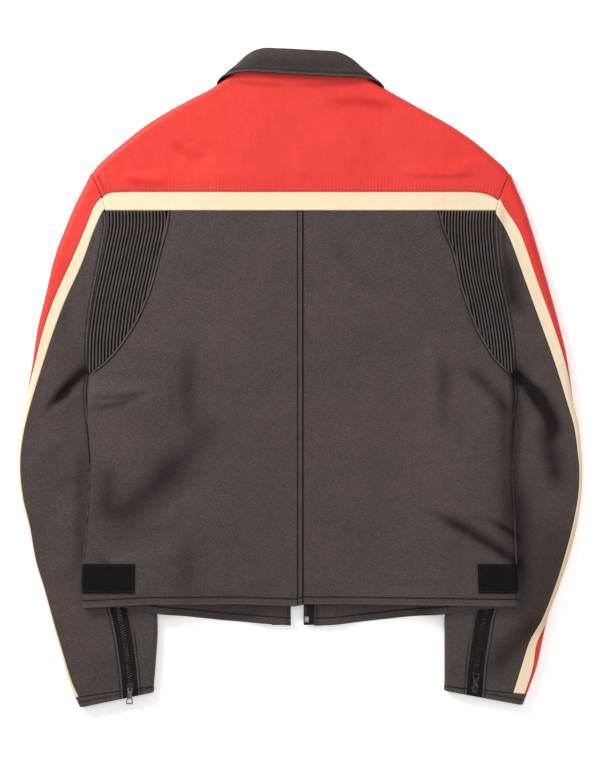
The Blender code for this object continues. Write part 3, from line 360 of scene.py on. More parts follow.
SLEEVE_FOLDS = [
    (-268, 0, -318, -42, 0, 12, -2.2),
    (-300, -60, -340, -130, 0, 18, 1.3),
    (-272, -120, -330, -170, 0, 20, -1.5),
    (-285, -250, -315, -230, 0, 18, 1.2),
    (-262, -330, -215, -300, 0, 16, -1.3),
    (268, -2, 318, -92, 0, 14, -2.2),
    (262, 90, 272, 150, 0, 12, -1.4),
    (300, -70, 342, -150, 0, 18, 1.3),
    (280, -190, 330, -210, 0, 18, -1.4),
    (306, -304, 240, -362, 0, 14, -2),
]
FINE_SLEEVE_FOLDS = [
    (-268, 2, -316, -40, 4, 5, -1.2),
    (-264, 22, -304, -14, 4, 7, 0.9),
    (-272, 150, -292, 20, 6, 9, -0.6),
    (-258, 170, -270, 60, 5, 6, 0.6),
    (-278, -20, -330, -70, 4, 8, 0.7),
    (-262, -86, -330, -112, 5, 9, -0.5),
    (-250, -140, -322, -190, 8, 10, -0.7),
    (-236, -150, -300, -206, 8, 9, 0.6),
    (-226, -210, -300, -236, 5, 9, 0.4),
    (-264, -286, -300, -330, 4, 8, -0.5),
    (-198, -330, -262, -296, 5, 8, -0.6),
    (268, 0, 316, -96, -6, 6, -1.2),
    (266, 24, 322, -60, -6, 8, 0.9),
    (266, 160, 280, 60, -4, 8, -0.7),
    (256, 170, 264, 90, -4, 6, 0.6),
    (296, -60, 334, -150, -5, 9, 0.7),
    (262, -80, 332, -110, 4, 8, -0.6),
    (236, -150, 330, -196, -5, 9, -0.6),
    (230, -170, 310, -226, -5, 9, 0.6),
    (308, -296, 244, -368, 5, 7, -1.3),
    (318, -280, 270, -360, 5, 8, 0.8),
    (214, -250, 290, -262, 4, 9, -0.4),
]
# Where the leather is in deep shade: the creases at the armpits, beside the body's edges and across the waist.
# The columns are the same, but the last one is how dark it is.
DARK_PLACES = [
    (-254, 22, -310, -38, 4, 9, 1.25),
    (-284, -12, -322, -46, 3, 7, 0.7),
    (252, 16, 306, -36, -4, 11, 1.4),
    (284, -8, 322, -84, -6, 15, 1.2),
    (300, -50, 322, -150, -3, 18, 0.75),
    (257, 165, 274, 70, 4, 16, 0.75),
    (252, 230, 258, 130, 2, 6, 0.5),
    (316, -290, 224, -382, 5, 24, 0.6),
    (330, -150, 290, -340, 0, 40, 0.45),
    (276, -100, 274, -300, 0, 22, 0.6),
    (-274, -60, -276, -270, 0, 12, 0.4),
    (-268, -39, -190, -19, 3, 6, 0.55),
    (-141, 60, -141, -82, 0, 18, 0.45),
    (-141, -180, -143, -300, 0, 22, 0.3),
    (-92, -40, -190, -130, -3, 26, 0.36),
    (-140, -86, -262, -196, -5, 28, 0.55),
    (-236, -100, -246, -182, 0, 18, 0.45),
    (-268, -210, -210, -250, 2, 7, 0.3),
    (150, 215, 256, -6, -24, 9, 0.55),
    (178, 40, 178, -76, 0, 14, 0.36),
    (196, 22, 266, -58, -6, 12, 0.55),
    (148, -160, 290, -246, -5, 10, 0.85),
    (226, -172, 280, -206, -2, 6, 0.6),
    (256, 10, 257, -240, 0, 16, 0.5),
    (36, 192, 118, 92, 12, 12, 0.12),
    (-96, 372, -4, 365, 2, 4, 0.5),
    (-24, 365, 96, 371, 2, 4, 0.5),
    (28, 341, 132, 331, -6, 8, 0.3),
    (-250, -330, -236, -404, 0, 60, 0.15),
    (-166, 300, -106, 270, 6, 8, 0.25),
    (-100, 394, 100, 390, 0, 22, 0.42),
]


DARKEST = 0.95


def relief(x, y, folds):
    """Height of the folds: across its line each is a bell curve, and along it it fades at both ends."""
    total = np.zeros_like(x)
    for fold in folds:
        x0, y0, x1, y1, bend, wide, high = np.array(fold) * MM
        run = np.hypot(x1 - x0, y1 - y0)
        along = ((x - x0) * (x1 - x0) + (y - y0) * (y1 - y0)) / run**2
        across = ((x - x0) * (y1 - y0) - (y - y0) * (x1 - x0)) / run - bend * 4 * along * (1 - along)
        total += high * np.exp(-((across / wide) ** 2) * 2) * ease(along * 3) * ease((1 - along) * 3)
    return total


def waves(x, y, seed, longest, shortest, count=14):
    """Slow waviness between about -1 and 1: a sum of sine waves of many directions and lengths."""
    draw = np.random.default_rng(seed)
    total = np.zeros_like(x)
    for length, turn, shift in zip(np.geomspace(longest, shortest, count), draw.uniform(0, np.pi, count),
                                   draw.uniform(0, 2 * np.pi, count)):
        total += np.sin(2 * np.pi * (x * np.cos(turn) + y * np.sin(turn)) / length + shift) * length / longest
    return total / 2.5  # which brings the sum to about -1 to 1


def undulation(x, y):
    """Height of the leather's own waviness."""
    return 0.5 * MM * waves(x, y, 3, 150 * MM, 26 * MM) + 0.10 * MM * waves(x, y, 5, 26 * MM, 7 * MM)


def shade(base):
    """How much the dark places take from the colour at each point, from 0 to 1."""
    return np.clip(relief(base[..., 0], base[..., 1], DARK_PLACES) / MM, 0, DARKEST)


print(len(BACK_FOLDS) + len(FINE_FOLDS), "folds on the body,", len(SLEEVE_FOLDS) + len(FINE_SLEEVE_FOLDS),
      "on the sleeves")


# %% [markdown]
# ## The body as heights
#
# The body is two layers of leather that meet in a fold at each side and each shoulder. Given a point seen from
# above, `body_z` gives the height of the layer there. Where a sleeve lies below, both layers rise over it.

# %% Heights of the two layers
RAMP_DOWN, RAMP_IN = 40 * MM, 30 * MM  # over these the body rises onto a sleeve, below the armpit and from its side
SOFT_RAMP = 110 * MM  # the same for the top layer, which bridges more
COVER_SPARE = 8 * MM  # how far the rise starts before the sleeve
ON_FOLD = 0.06 * MM  # nearer to a fold than this is on it
FOLD_GROWTH = 1.5  # the folds of the body are this many times as high as their table says


def x_on(dense, y):
    """x of a curve that runs down the jacket, at the height y."""
    return np.interp(-np.asarray(y), -dense[:, 1], dense[:, 0])


def sleeve_cover(x, y, ramp_in):
    """How fully a sleeve lies below this point of the body, from 0 to 1. It grows to 1 over ramp_in.

    0.95 turns a distance along x into one square to the sleeve's edge, which runs a little askew.
    """
    cover = np.zeros_like(x)
    for side, sign in SIDES.items():
        rows = SLEEVE_ROWS[side]
        far_x = np.interp(-y, -rows["far_y"][ARMPIT_ROW:], rows["far_x"][ARMPIT_ROW:])
        inside = (x - far_x) * sign * 0.95 + COVER_SPARE
        cover = np.maximum(cover, ease((inside + ramp_in) / ramp_in) * ease((ARMPIT_Y - y) / RAMP_DOWN))
    return cover


def front_lift(x, y):
    """The lift of the fronts over the zip tapes and over the collar's front leaf, an oval round the neck."""
    beside_zip = ease((76 * MM - np.abs(x - 2 * MM)) / (30 * MM))
    round_neck = np.hypot(x / (128 * MM), (y - NECK_LEVEL) / (118 * MM))
    return ZIP_LIFT * np.maximum(beside_zip, ease((1.25 - round_neck) / 0.25))


def body_levels(x, y):
    """Heights of the lowest and the highest face of the body at a point."""
    creases = FOLD_GROWTH * relief(x, y, BACK_FOLDS)
    return (SLEEVE_LIFT * sleeve_cover(x, y, RAMP_IN) + front_lift(x, y),
            TOP + SIDE_RISE * sleeve_cover(x, y, SOFT_RAMP) + creases)


def body_z(x, y, layer, past=1.0):
    """Height of the outer face of the back (layer 1) or the fronts (layer -1).

    Towards a fold the two faces close in a half circle. past is -1 just beyond the fold.
    """
    low, high = body_levels(x, y)
    half = (high - low) / 2
    edge = np.maximum(np.min([distance(x, y, fold) for fold in BODY_FOLDS], axis=0) - ON_FOLD, 0)
    open_share = np.sqrt(1 - (1 - np.clip(edge / half, 0, 1)) ** 2)
    turn = np.where(edge < half, np.sign(past) + (np.asarray(past) == 0), 1.0)
    fine = FOLD_GROWTH * relief(x, y, FINE_FOLDS) + undulation(x, y) if layer > 0 else 0.0
    return low + half + layer * turn * half * open_share + fine * open_share**3


def fold_run(q, radius):
    """Distance in from a fold, seen from above, after going q round the leather from it."""
    q = np.abs(q)
    turning = radius * (1 - np.cos(np.minimum(q / radius, np.pi / 2)))
    return turning + np.maximum(q - radius * np.pi / 2, 0)


middle = np.zeros((1, 1))
print("height at the middle of the back:", round(float(body_z(middle, middle, 1)[0, 0]) / MM, 1), "mm")

# %% [markdown]
# ## From a surface to a wall of leather
#
# A panel starts as a surface function of two parameters and a grid of their values. `wall` turns it into a closed
# piece: an outer face, an inner face 2 mm below it, and a rim round the edge. How the outer face rounds off, rises
# or dips near each edge depends on how that edge is sewn.

# %% Grid spacing
# Distances from a panel's edge, in mm, at which it always has points. The second list follows the topstitch too.
NEAR_EDGE = (0.0, 0.15, 0.4, 0.8, 1.3, 2.0, 2.9, 4.0, 5.2)
NEAR_STITCH = (0.0, 0.15, 0.4, 0.8, 1.3, 2.0, 2.7, 3.2, 3.7, 4.8, 6.0, 6.6, 7.2, 8.2, 8.9, 9.3, 9.7, 10.6)


def spaced(length, step, close=NEAR_EDGE):
    """Shares of a length in mm: close together near both ends, and about `step` mm apart between."""
    steps = max(2, int(round((length - 2 * close[-1]) / step)))
    middle = np.linspace(close[-1], length - close[-1], steps + 1)
    start = np.array(close[:-1])
    return np.concatenate([start, middle, length - start[::-1]]) / length


print("a 100 mm side gets", len(spaced(100, 2.5)), "points")

# %% How an edge is sewn
# Columns, in mm: round, the radius over which the edge drops away. drop, how far. lift and lift_wide, the band of
# doubled leather along it. stitch, how far in the topstitch runs (0 for none). groove, how deep it pulls.
# pucker, how high the leather bunches between the edge and the topstitch. wear_and_highlight, how much lighter its
# rim is, partly edge wear and partly painted highlight. dark, how far and how strongly the edge darkens, painted
# shade in the seam. line, how dark the topstitch's groove is painted, as shade.
EDGE_COLUMNS = ("round", "drop", "lift", "lift_wide", "stitch", "groove", "pucker", "wear_and_highlight", "dark", "line")
EDGES = {
    "seam": (1.5, 0.8, 0.15, 4, 0, 0, 0.05, 0.15, 0.9, 0),
    "soft": (1.5, 0.6, 0.15, 4, 0, 0, 0.05, 0.1, 0.45, 0),
    "plain": (0.9, 0.45, 0, 3, 0, 0, 0.0, 0.0, 0.9, 0),
    "side": (0.9, 0.45, 0, 3, 0, 0, 0.0, 0.0, 1.3, 0),
    "lapped": (1.1, 0.9, 0.7, 6.5, 6.6, 0.5, 0.10, 0.7, 1.5, 1.1),
    "centre": (1.6, 1.0, 0.1, 4, 0, 0, 0.05, 0.0, 1.6, 0),
    "curved": (1.0, 0.6, 0.8, 2.6, 3.2, 0.4, 0.14, 1.4, 0.8, 1.0),
    "armhole": (1.6, 1.1, 0.5, 6.6, 6.8, 0.35, 0.05, 0.1, 0.7, 0.25),
    "foot": (1.2, 0.6, 0.2, 15.5, 15.5, 0.1, 0.10, 0.1, 0.45, 0.0),
    "hem": (1.0, 1.0, 0.45, 9.0, 9.3, 0.45, 0.09, 0.9, 0.9, 1.1),
    "folded": (1.0, 0.9, 0.5, 3.4, 3.6, 0.3, 0.03, 0.9, 0.9, 0.9),
    "cuff": (1.0, 1.0, 0.5, 6.2, 6.5, 0.3, 0.07, 0.6, 0.9, 0.9),
    "leaf": (1.0, 0.8, 0.25, 4.6, 4.8, 0.3, 0.03, 1.2, 0.9, 0.9),
}
EVERY_EDGE = ("a0", "a1", "b0", "b1")  # of a grid: its first and last row, its first and last column
BOTH_SIDES = ("hem", "folded", "cuff", "leaf")  # edges that are rounded and stitched on the inner face too
PUCKER_PITCH = 4.2 * MM
GROOVE_WIDE, LINE_WIDE, RIM_WIDE = 0.75 * MM, 0.85 * MM, 0.8 * MM
EDGE_REACH = 18 * MM  # how far past its topstitch an edge is looked at


def uneven_wave(along, pitch, slow):
    """A row of bumps `pitch` apart on average, drawn together and apart again over `slow` times 2 pi."""
    return np.sin(2 * np.pi * along / pitch + np.sin(along / slow[0]) * slow[1])


def line_distance(points, path):
    """Distance of points (n, 3) to a path, and how far along the path the nearest place is."""
    a, run = path[:-1], np.diff(path, axis=0)
    size = np.maximum((run**2).sum(axis=1), 1e-18)
    gap = points[:, None, :] - a[None]
    t = np.clip((gap * run).sum(-1) / size, 0, 1)
    apart = np.linalg.norm(gap - t[..., None] * run, axis=-1)
    nearest = apart.argmin(axis=1)
    pick = np.arange(len(points))
    return apart[pick, nearest], (lengths_along(path)[:-1] + t * np.sqrt(size))[pick, nearest]


def near_path(points, path, reach):
    """Which points of a grid lie within about `reach` of a path, from every sixth point of the path."""
    return np.linalg.norm(points[..., None, :] - path[None, None, ::6], axis=-1).min(axis=-1) < reach


def edge_relief(base, edges):
    """How far both faces stand out near the edges, the painted shade in the crevices of both and the lighter rims
    (partly edge wear, partly painted highlight), from 0 to 1.

    Each edge is (name, kind) or (name, kind, share), where share is a function of the points.
    """
    high, inner, crevice_shade, deep, wear_and_highlight = np.zeros((5, *base.shape[:2]))
    for edge, kind, *rest in edges:
        k = dict(zip(EDGE_COLUMNS, np.array(EDGES[kind], float) * MM))
        share = rest[0](base) if rest else 1.0
        path = dict(zip(EVERY_EDGE, (base[0], base[-1], base[:, 0], base[:, -1])))[edge]
        path = even(path, max(24, min(260, int(lengths_along(path)[-1] / (3 * MM)))))
        close = near_path(base, path, max(k["lift_wide"], k["stitch"]) + EDGE_REACH)
        d, along = np.full(base.shape[:2], 1.0), np.zeros(base.shape[:2])
        d[close], along[close] = line_distance(base[close], path)
        rounding = 1 - np.sqrt(1 - (1 - np.clip(d / k["round"], 0, 1)) ** 2)
        band = 1 - ease((d - k["lift_wide"]) / (1.4 * MM))
        change = k["lift"] * band - (k["drop"] + k["lift"] * 0.6) * rounding
        in_band = ease(d / (1.2 * MM)) * (1 - ease((d - k["lift_wide"] - 1 * MM) / (4 * MM)))
        change = change + k["pucker"] * uneven_wave(along, PUCKER_PITCH, (17 * MM, 1.3)) * in_band
        pull = bell(d, k["stitch"], GROOVE_WIDE)
        if k["stitch"]:
            change = change - k["groove"] * pull
            crevice_shade = np.maximum(crevice_shade, share * k["line"] / MM * bell(d, k["stitch"], LINE_WIDE))
        high = high + share * change
        if kind in BOTH_SIDES:
            inner = inner + share * (k["drop"] * rounding + k["groove"] * pull)
            # Painted shade in the topstitch's groove on the inner face, for the edges that are stitched on both
            # sides.
            deep = np.maximum(deep, share * np.minimum(k["line"] / MM, 1.0) * pull)
        dark = np.minimum(k["dark"] / MM, 1.0) * bell(d, 0, max(0.85 * k["dark"], 0.6 * MM))
        crevice_shade = np.maximum(crevice_shade, share * dark)
        # The lighter rim along an edge: partly edge wear and partly painted highlight.
        wear_and_highlight = np.maximum(wear_and_highlight, share * k["wear_and_highlight"] / MM * bell(d, k["round"] * 1.1, RIM_WIDE))
    return high, inner, crevice_shade, deep, wear_and_highlight


print("kinds of sewn edge:", ", ".join(EDGES))


# %% Meshes from arrays
def new_mesh(name, points, faces, finishes, slots=None):
    """An object from an array of points and an array of faces with the same number of corners each."""
    mesh = bpy.data.meshes.new(name)
    mesh.vertices.add(len(points))
    mesh.vertices.foreach_set("co", np.ascontiguousarray(points, np.float32).ravel())
    mesh.loops.add(faces.size)
    mesh.loops.foreach_set("vertex_index", np.ascontiguousarray(faces, np.int32).ravel())
    mesh.polygons.add(len(faces))
    mesh.polygons.foreach_set("loop_start", np.arange(0, faces.size, faces.shape[1], dtype=np.int32))
    mesh.update(calc_edges=True)
    mesh.shade_smooth()
    mesh.set_sharp_from_angle(angle=np.radians(55))
    for finish in finishes:
        mesh.materials.append(finish)
    if slots is not None:
        mesh.polygons.foreach_set("material_index", slots.astype(np.int32))
    made = bpy.data.objects.new(name, mesh)
    bpy.context.scene.collection.objects.link(made)
    return made


def small_parts(name, points, faces, finish):
    """One piece of many like parts: points (parts, points of a part, 3), and the faces of one part or of each."""
    count, per = points.shape[:2]
    print(f"{name}: {count} of them")
    return new_mesh(name, points.reshape(-1, 3), (faces + np.arange(count)[:, None, None] * per).reshape(-1, 4),
                    [finish])


def mark(piece, name, outer, inner):
    """Keeps a number on each point of both faces of a wall, where the material can read it by name."""
    values = np.concatenate([outer.ravel(), inner.ravel()]).astype(np.float32)
    if name not in piece.data.attributes:
        piece.data.attributes.new(name, "FLOAT", "POINT")
    piece.data.attributes[name].data.foreach_set("value", values)


def grid_faces(rows, columns, start=0):
    """Four-sided faces of a grid whose points are numbered row by row."""
    i, j = np.meshgrid(np.arange(rows - 1), np.arange(columns - 1), indexing="ij")
    corner = (start + i * columns + j).ravel()
    return np.stack([corner, corner + columns, corner + columns + 1, corner + 1], axis=1)


def closed_wall(name, outer, inner, finish, backing):
    """A closed piece from two grids of points of the same size: two faces and the rim between them."""
    rows, columns = outer.shape[:2]
    count = rows * columns
    order = np.arange(count).reshape(rows, columns)
    rim = np.concatenate([order[:-1, 0], order[-1, :-1], order[:0:-1, -1], order[0, :0:-1]])
    after = np.roll(rim, -1)
    face = grid_faces(rows, columns)
    faces = np.concatenate([face, grid_faces(rows, columns, count)[:, ::-1],
                            np.stack([after, rim, rim + count, after + count], axis=1)])
    points = np.concatenate([outer.reshape(-1, 3), inner.reshape(-1, 3)])
    a, b, c, d = (points[faces[:, k]] for k in range(4))
    volume = (a * np.cross(b, c)).sum() + (a * np.cross(c, d)).sum()
    if volume < 0:
        faces = faces[:, ::-1]
    slots = np.zeros(len(faces))
    slots[len(face):2 * len(face)] = 1
    return new_mesh(name, points, faces, [finish, backing], slots)


def cut_size(grid):
    """Width, length and area of the cut panel, measured round the leather, in metres."""
    across, down = (np.linalg.norm(np.diff(grid, axis=axis), axis=-1) for axis in (1, 0))
    widths, length = across.sum(axis=1), down.sum(axis=0).max()
    start, below, far, beside = grid[:-1, :-1], grid[1:, :-1], grid[1:, 1:], grid[:-1, 1:]
    halves = (np.cross(below - start, far - start), np.cross(far - start, beside - start))
    area = sum(np.linalg.norm(half, axis=-1).sum() for half in halves) / 2
    width = widths.max() if area > 0.3 * widths.max() * length else widths[0]
    return width, length, area


ON_FLOOR = 0.02 * MM  # the lowest that a panel lies
OUTER = {}  # the outer grid of each panel and its way out, which stitching is laid on


def wall(name, node, surface, a, b, look, outward, edges=(), extra=None, high=0.0, thick=WALL,
         backing=None):
    """A sewn panel that stands for the CAD node. It keeps its faces for the stitching.

    look is (finish, slot), and its slot is not used. outward is a rough way out, or a function of the points that
    gives it. extra adds to the height, from the base points.
    """
    a, b = np.meshgrid(a, b, indexing="ij")
    base = np.stack(surface(a, b), -1)
    facing = unit(np.cross(np.gradient(base, axis=0), np.gradient(base, axis=1)))
    wanted = outward(base) if callable(outward) else np.array(outward, float)
    if np.sum(facing * wanted) < 0:
        facing = -facing
    rise, inner_rise, crevice_shade, deep, wear_and_highlight = edge_relief(base, edges)
    # Painted shade: the places of DARK_PLACES darken the colour too, on top of the seams and creases.
    crevice_shade = 1 - (1 - crevice_shade) * (1 - shade(base))
    rise = rise + high
    if extra is not None:
        rise = rise + extra(base, a, b)
    outer, inner = base + facing * rise[..., None], base + facing * (inner_rise - thick)[..., None]
    for face in (outer, inner):
        face[..., 2] = np.maximum(face[..., 2], ON_FLOOR)
    piece = closed_wall(name, outer, inner, look[0], backing or BACKING)
    mark(piece, "crevice_shade", crevice_shade, deep)
    mark(piece, "wear_and_highlight", wear_and_highlight, np.zeros_like(wear_and_highlight))
    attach(piece, "jacket")
    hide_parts(node)
    width, length, area = cut_size(base)
    width, length = (float(np.ceil(size * 1000) / 1000) for size in (width, length))
    OUTER[name], OUTER[name + " inside"] = (outer, facing), (inner, -facing)
    print(f"{name}: {width * 1000:.0f} x {length * 1000:.0f} mm, {area * 1e4:.0f} cm2,",
          len(piece.data.polygons), "faces")
    return piece

# %% [markdown]
# ## Materials
#
# Every material is made of nodes. Leather gets pebbles from two sizes of Voronoi cells, fine pores and slow changes
# of tone. Painted shade darkens its seams, creases and shaded places, and its rims are lighter, partly edge wear and
# partly painted highlight. The shade and the rims come from the `crevice_shade` and `wear_and_highlight` numbers that
# each panel keeps on its points.

# %% Colours
# RED_IN_SHADE, CREAM_IN_SHADE and DARK_IN_SHADE are painted shade: the colours that seams, creases and shaded places
# darken towards.
RED, RED_IN_SHADE = (0.58, 0.017, 0.011), (0.33, 0.005, 0.004)
CREAM, CREAM_IN_SHADE = (0.71, 0.565, 0.37), (0.42, 0.25, 0.14)
DARK, DARK_IN_SHADE = (0.0235, 0.0157, 0.0137), (0.0048, 0.0030, 0.0026)
# PALE_DARK, like the rim colours of the red and cream leathers below, is a lighter rim colour: partly edge wear and
# partly painted highlight.
PALE_DARK = (0.100, 0.080, 0.072)


# %% Node helpers
class Finish:
    """A material in the making: its Principled shader, and short ways to add nodes to it."""

    def __init__(self, name):
        self.material = bpy.data.materials.new(name)
        self.material.use_nodes = True
        self.tree = self.material.node_tree
        self.shader = self.tree.nodes["Principled BSDF"]
        self.where = self.node("ShaderNodeTexCoord").outputs["Object"]

    def feed(self, node, inputs):
        """Fills inputs of a node, each with a number, a colour or the output of another node."""
        for key, value in inputs.items():
            socket = node.inputs[key]
            if isinstance(value, bpy.types.NodeSocket):
                self.tree.links.new(value, socket)
            else:
                socket.default_value = (*value, 1) if socket.type == "RGBA" else value

    def node(self, kind, inputs=None, **settings):
        """A new node with its settings and its inputs."""
        made = self.tree.nodes.new(kind)
        for key, value in settings.items():
            setattr(made, key, value)
        self.feed(made, inputs or {})
        return made

    def noise(self, scale, detail=3, rough=0.5):
        inputs = {"Vector": self.where, "Scale": scale, "Detail": detail, "Roughness": rough}
        return self.node("ShaderNodeTexNoise", inputs).outputs["Fac"]

    def cells(self, where, scale):
        """Distance to the nearest border between Voronoi cells."""
        inputs = {"Vector": where, "Scale": scale}
        return self.node("ShaderNodeTexVoronoi", inputs, feature="DISTANCE_TO_EDGE").outputs["Distance"]

    def point_value(self, name):
        return self.node("ShaderNodeAttribute", attribute_name=name).outputs["Fac"]

    def mapped(self, value, low, high, to_low=0.0, to_high=1.0):
        """A number moved from one range to another and kept inside it."""
        inputs = {"Value": value, "From Min": low, "From Max": high, "To Min": to_low, "To Max": to_high}
        return self.node("ShaderNodeMapRange", inputs).outputs["Result"]

    def mixed(self, share, first, second):
        """A colour between two others. Each is a colour or the output of a node."""
        return self.node("ShaderNodeMix", {0: share, 6: first, 7: second}, data_type="RGBA").outputs[2]

    def summed(self, *terms):
        """A sum of numbers, each given with how much it counts."""
        total = 0.0
        for value, weight in terms:
            inputs = {0: value, 1: weight, 2: total}
            total = self.node("ShaderNodeMath", inputs, operation="MULTIPLY_ADD").outputs[0]
        return total

    def finished(self, colour, roughness, height, deep, **others):
        """The material, with its shader fed and its bumps `deep` metres high. _ stands for a space in a name."""
        bump = self.node("ShaderNodeBump", {"Strength": 1.0, "Distance": deep, "Height": height})
        self.feed(self.shader, {"Base Color": colour, "Roughness": roughness, "Normal": bump.outputs["Normal"]})
        self.feed(self.shader, {name.replace("_", " "): value for name, value in others.items()})
        return self.material


MIDDLE = (0.3, 0.7)  # where most of a noise texture's values lie


# %% Leather
WARP = 1.2 * MM  # how far the cells of the grain are pushed out of shape
PEBBLES, FINE_PEBBLES, PORES = 370.0, 1500.0, 2600.0  # how many to a metre


def leather(name, tone, light_tone, shade_tone, rim_tone, roughness, grain, spread, grain_tone):
    """Leather in one tone: pebbled grain, mottling, painted shade in seams and creases, and lighter rims that are
    partly edge wear and partly painted highlight.

    grain is the height of the pebbles in mm. spread and grain_tone say how much the mottling and the pebbles
    lighten the tone.
    """
    look = Finish(name)
    warp = look.node("ShaderNodeTexNoise", {"Vector": look.where, "Scale": 180.0, "Detail": 2.0})
    inputs = {0: warp.outputs["Color"], 1: (WARP, WARP, WARP), 2: look.where}
    moved = look.node("ShaderNodeVectorMath", inputs, operation="MULTIPLY_ADD").outputs[0]
    pebble, fine = (look.mapped(look.cells(moved, scale), 0.0, 0.3) for scale in (PEBBLES, FINE_PEBBLES))
    slow, mottle = (look.mapped(look.noise(*kind), *MIDDLE) for kind in ((9.0, 3, 0.55), (70.0, 4, 0.6)))
    colour = look.mixed(look.summed((slow, spread * 0.5), (mottle, spread * 0.3), (pebble, grain_tone)),
                        tone, light_tone)
    # Lighter rims: partly edge wear and partly painted highlight on the rounded edges.
    colour = look.mixed(look.summed((look.point_value("wear_and_highlight"), 0.62)), colour, rim_tone)
    # Painted shade: seams, creases and shaded places darken towards shade_tone and reflect less there.
    crevice_shade = look.point_value("crevice_shade")
    colour = look.mixed(look.summed((crevice_shade, 0.85)), colour, shade_tone)
    gloss = look.summed((mottle, 0.10), (pebble, -0.06), (slow, 0.05))
    return look.finished(colour, look.mapped(gloss, -0.06, 0.15, roughness - 0.06, roughness + 0.08),
                         look.summed((pebble, 0.6), (fine, 0.28), (look.noise(PORES, 2), 0.14)), grain * MM,
                         Specular_IOR_Level=look.mapped(crevice_shade, 0.0, 1.0, 0.32, 0.03))


RED_LEATHER = leather("red leather", RED, (0.72, 0.044, 0.030), RED_IN_SHADE, (0.78, 0.10, 0.07), 0.52, 0.10, 0.8, 0.25)
CREAM_LEATHER = leather("cream leather", CREAM, (0.77, 0.64, 0.455), CREAM_IN_SHADE, (0.85, 0.76, 0.60), 0.55, 0.10, 0.5, 0.5)
DARK_LEATHER = leather("brown-black leather", DARK, (0.068, 0.0468, 0.0412), DARK_IN_SHADE, PALE_DARK, 0.50, 0.34, 0.5, 0.70)


# %% Ribbed leather, lining, tape, hook-and-loop, thread and metal
def ribbed_leather():
    """The dark leather again, with painted shade that goes black in the valleys between the ribs."""
    look = Finish("ribbed stretch leather")
    pebble = look.mapped(look.cells(look.where, 900.0), 0.0, 0.3)
    mottle = look.mapped(look.noise(60.0, 4, 0.6), *MIDDLE)
    top = look.mixed(look.summed((mottle, 0.5), (pebble, 0.3)), (0.052, 0.041, 0.0365), (0.092, 0.077, 0.069))
    # Painted shade: the valleys between the ribs go near black.
    colour = look.mixed(look.point_value("crevice_shade"), top, (0.0012, 0.0010, 0.0009))
    return look.finished(colour, look.mapped(mottle, 0, 1, 0.42, 0.56), look.summed((pebble, 0.7), (mottle, 0.3)),
                         0.06 * MM, Specular_IOR_Level=0.3)


def woven(name, tone, light_tone, pitch, roughness, height=0.12):
    """A plain weave: two sets of threads that cross, one above the other by turns. Sizes are in mm."""
    look = Finish(name)
    inputs = {"Vector": look.where, "Scale": 1 / (pitch * MM) / 10, "Distortion": 0.6, "Detail": 1.0,
              "Detail Scale": 3.0}
    threads = [look.node("ShaderNodeTexWave", inputs, wave_type="BANDS", bands_direction=direction,
                         wave_profile="SIN").outputs["Fac"] for direction in "XY"]
    mottle = look.mapped(look.noise(400.0), *MIDDLE)
    heights = look.summed((threads[0], 0.5), (threads[1], 0.5), (mottle, 0.25))
    colour = look.mixed(look.mapped(heights, 0.2, 1.0), tone, light_tone)
    return look.finished(colour, look.mapped(mottle, 0, 1, roughness - 0.06, roughness + 0.06), heights,
                         height * MM, Specular_IOR_Level=0.15)


def fuzzy():
    """Hook-and-loop: a mat of tiny loops that swallows light."""
    look = Finish("hook-and-loop")
    tufts = look.noise(1100.0, 5, 0.75)
    patches = look.mapped(look.noise(130.0), *MIDDLE)
    colour = look.mixed(look.summed((look.mapped(tufts, 0.35, 0.7), 0.7), (patches, 0.25)),
                        (0.002, 0.002, 0.0017), (0.012, 0.0115, 0.010))
    return look.finished(colour, look.mapped(tufts, *MIDDLE, 0.88, 1.0), look.summed((tufts, 1.0), (patches, 0.3)),
                         0.7 * MM, Specular_IOR_Level=0.08)


def thread(name, tone):
    """Twisted sewing thread."""
    look = Finish(name)
    twist = look.mapped(look.noise(1800.0, 2), 0.35, 0.65)
    colour = look.mixed(twist, tuple(0.6 * c for c in tone), tone)
    return look.finished(colour, look.mapped(twist, 0, 1, 0.5, 0.7), twist, 0.1 * MM)


def metal(name, tone, worn_tone, roughness):
    """Plated metal with fine scratches and brighter worn places."""
    look = Finish(name)
    worn = look.mapped(look.noise(320.0, 4, 0.6), 0.45, 0.7)
    scratch = look.noise(2400.0, 3, 0.7)
    return look.finished(look.mixed(worn, tone, worn_tone),
                         look.mapped(scratch, *MIDDLE, roughness - 0.08, roughness + 0.1),
                         look.summed((scratch, 0.6), (worn, 0.4)), 0.02 * MM, Metallic=1.0)


RIBBED = ribbed_leather()
BACKING = woven("woven backing", (0.006, 0.005, 0.005), (0.016, 0.014, 0.014), 0.5, 0.7, 0.05)
TAPE = woven("zip tape", (0.0035, 0.003, 0.0027), (0.012, 0.0105, 0.0095), 0.7, 0.85)
FUZZY = fuzzy()
# The red thread is darker than the red leather, as painted shade of the groove it lies in.
THREADS = {"dark": thread("dark thread", (0.024, 0.017, 0.0155)), "red": thread("red thread", (0.20, 0.004, 0.003)),
           "black": thread("black thread", (0.004, 0.0035, 0.003))}
GUNMETAL = metal("gunmetal", (0.045, 0.043, 0.041), (0.13, 0.125, 0.12), 0.38)
BRIGHT = metal("bright zip metal", (0.15, 0.147, 0.143), (0.30, 0.295, 0.285), 0.36)
BLACKENED = metal("blackened zip metal", (0.024, 0.023, 0.022), (0.075, 0.072, 0.069), 0.40)
PULL_METAL = metal("dark nickel", (0.085, 0.083, 0.08), (0.22, 0.21, 0.20), 0.36)
LOOKS = {"red": (RED_LEATHER, "red_leather"), "cream": (CREAM_LEATHER, "cream_leather"),
         "dark": (DARK_LEATHER, "dark_leather"), "ribbed": (RIBBED, "ribbed_leather"),
         "tape": (TAPE, "black_tape"), "fuzzy": (FUZZY, "black_tape")}
print(len(bpy.data.materials), "materials")

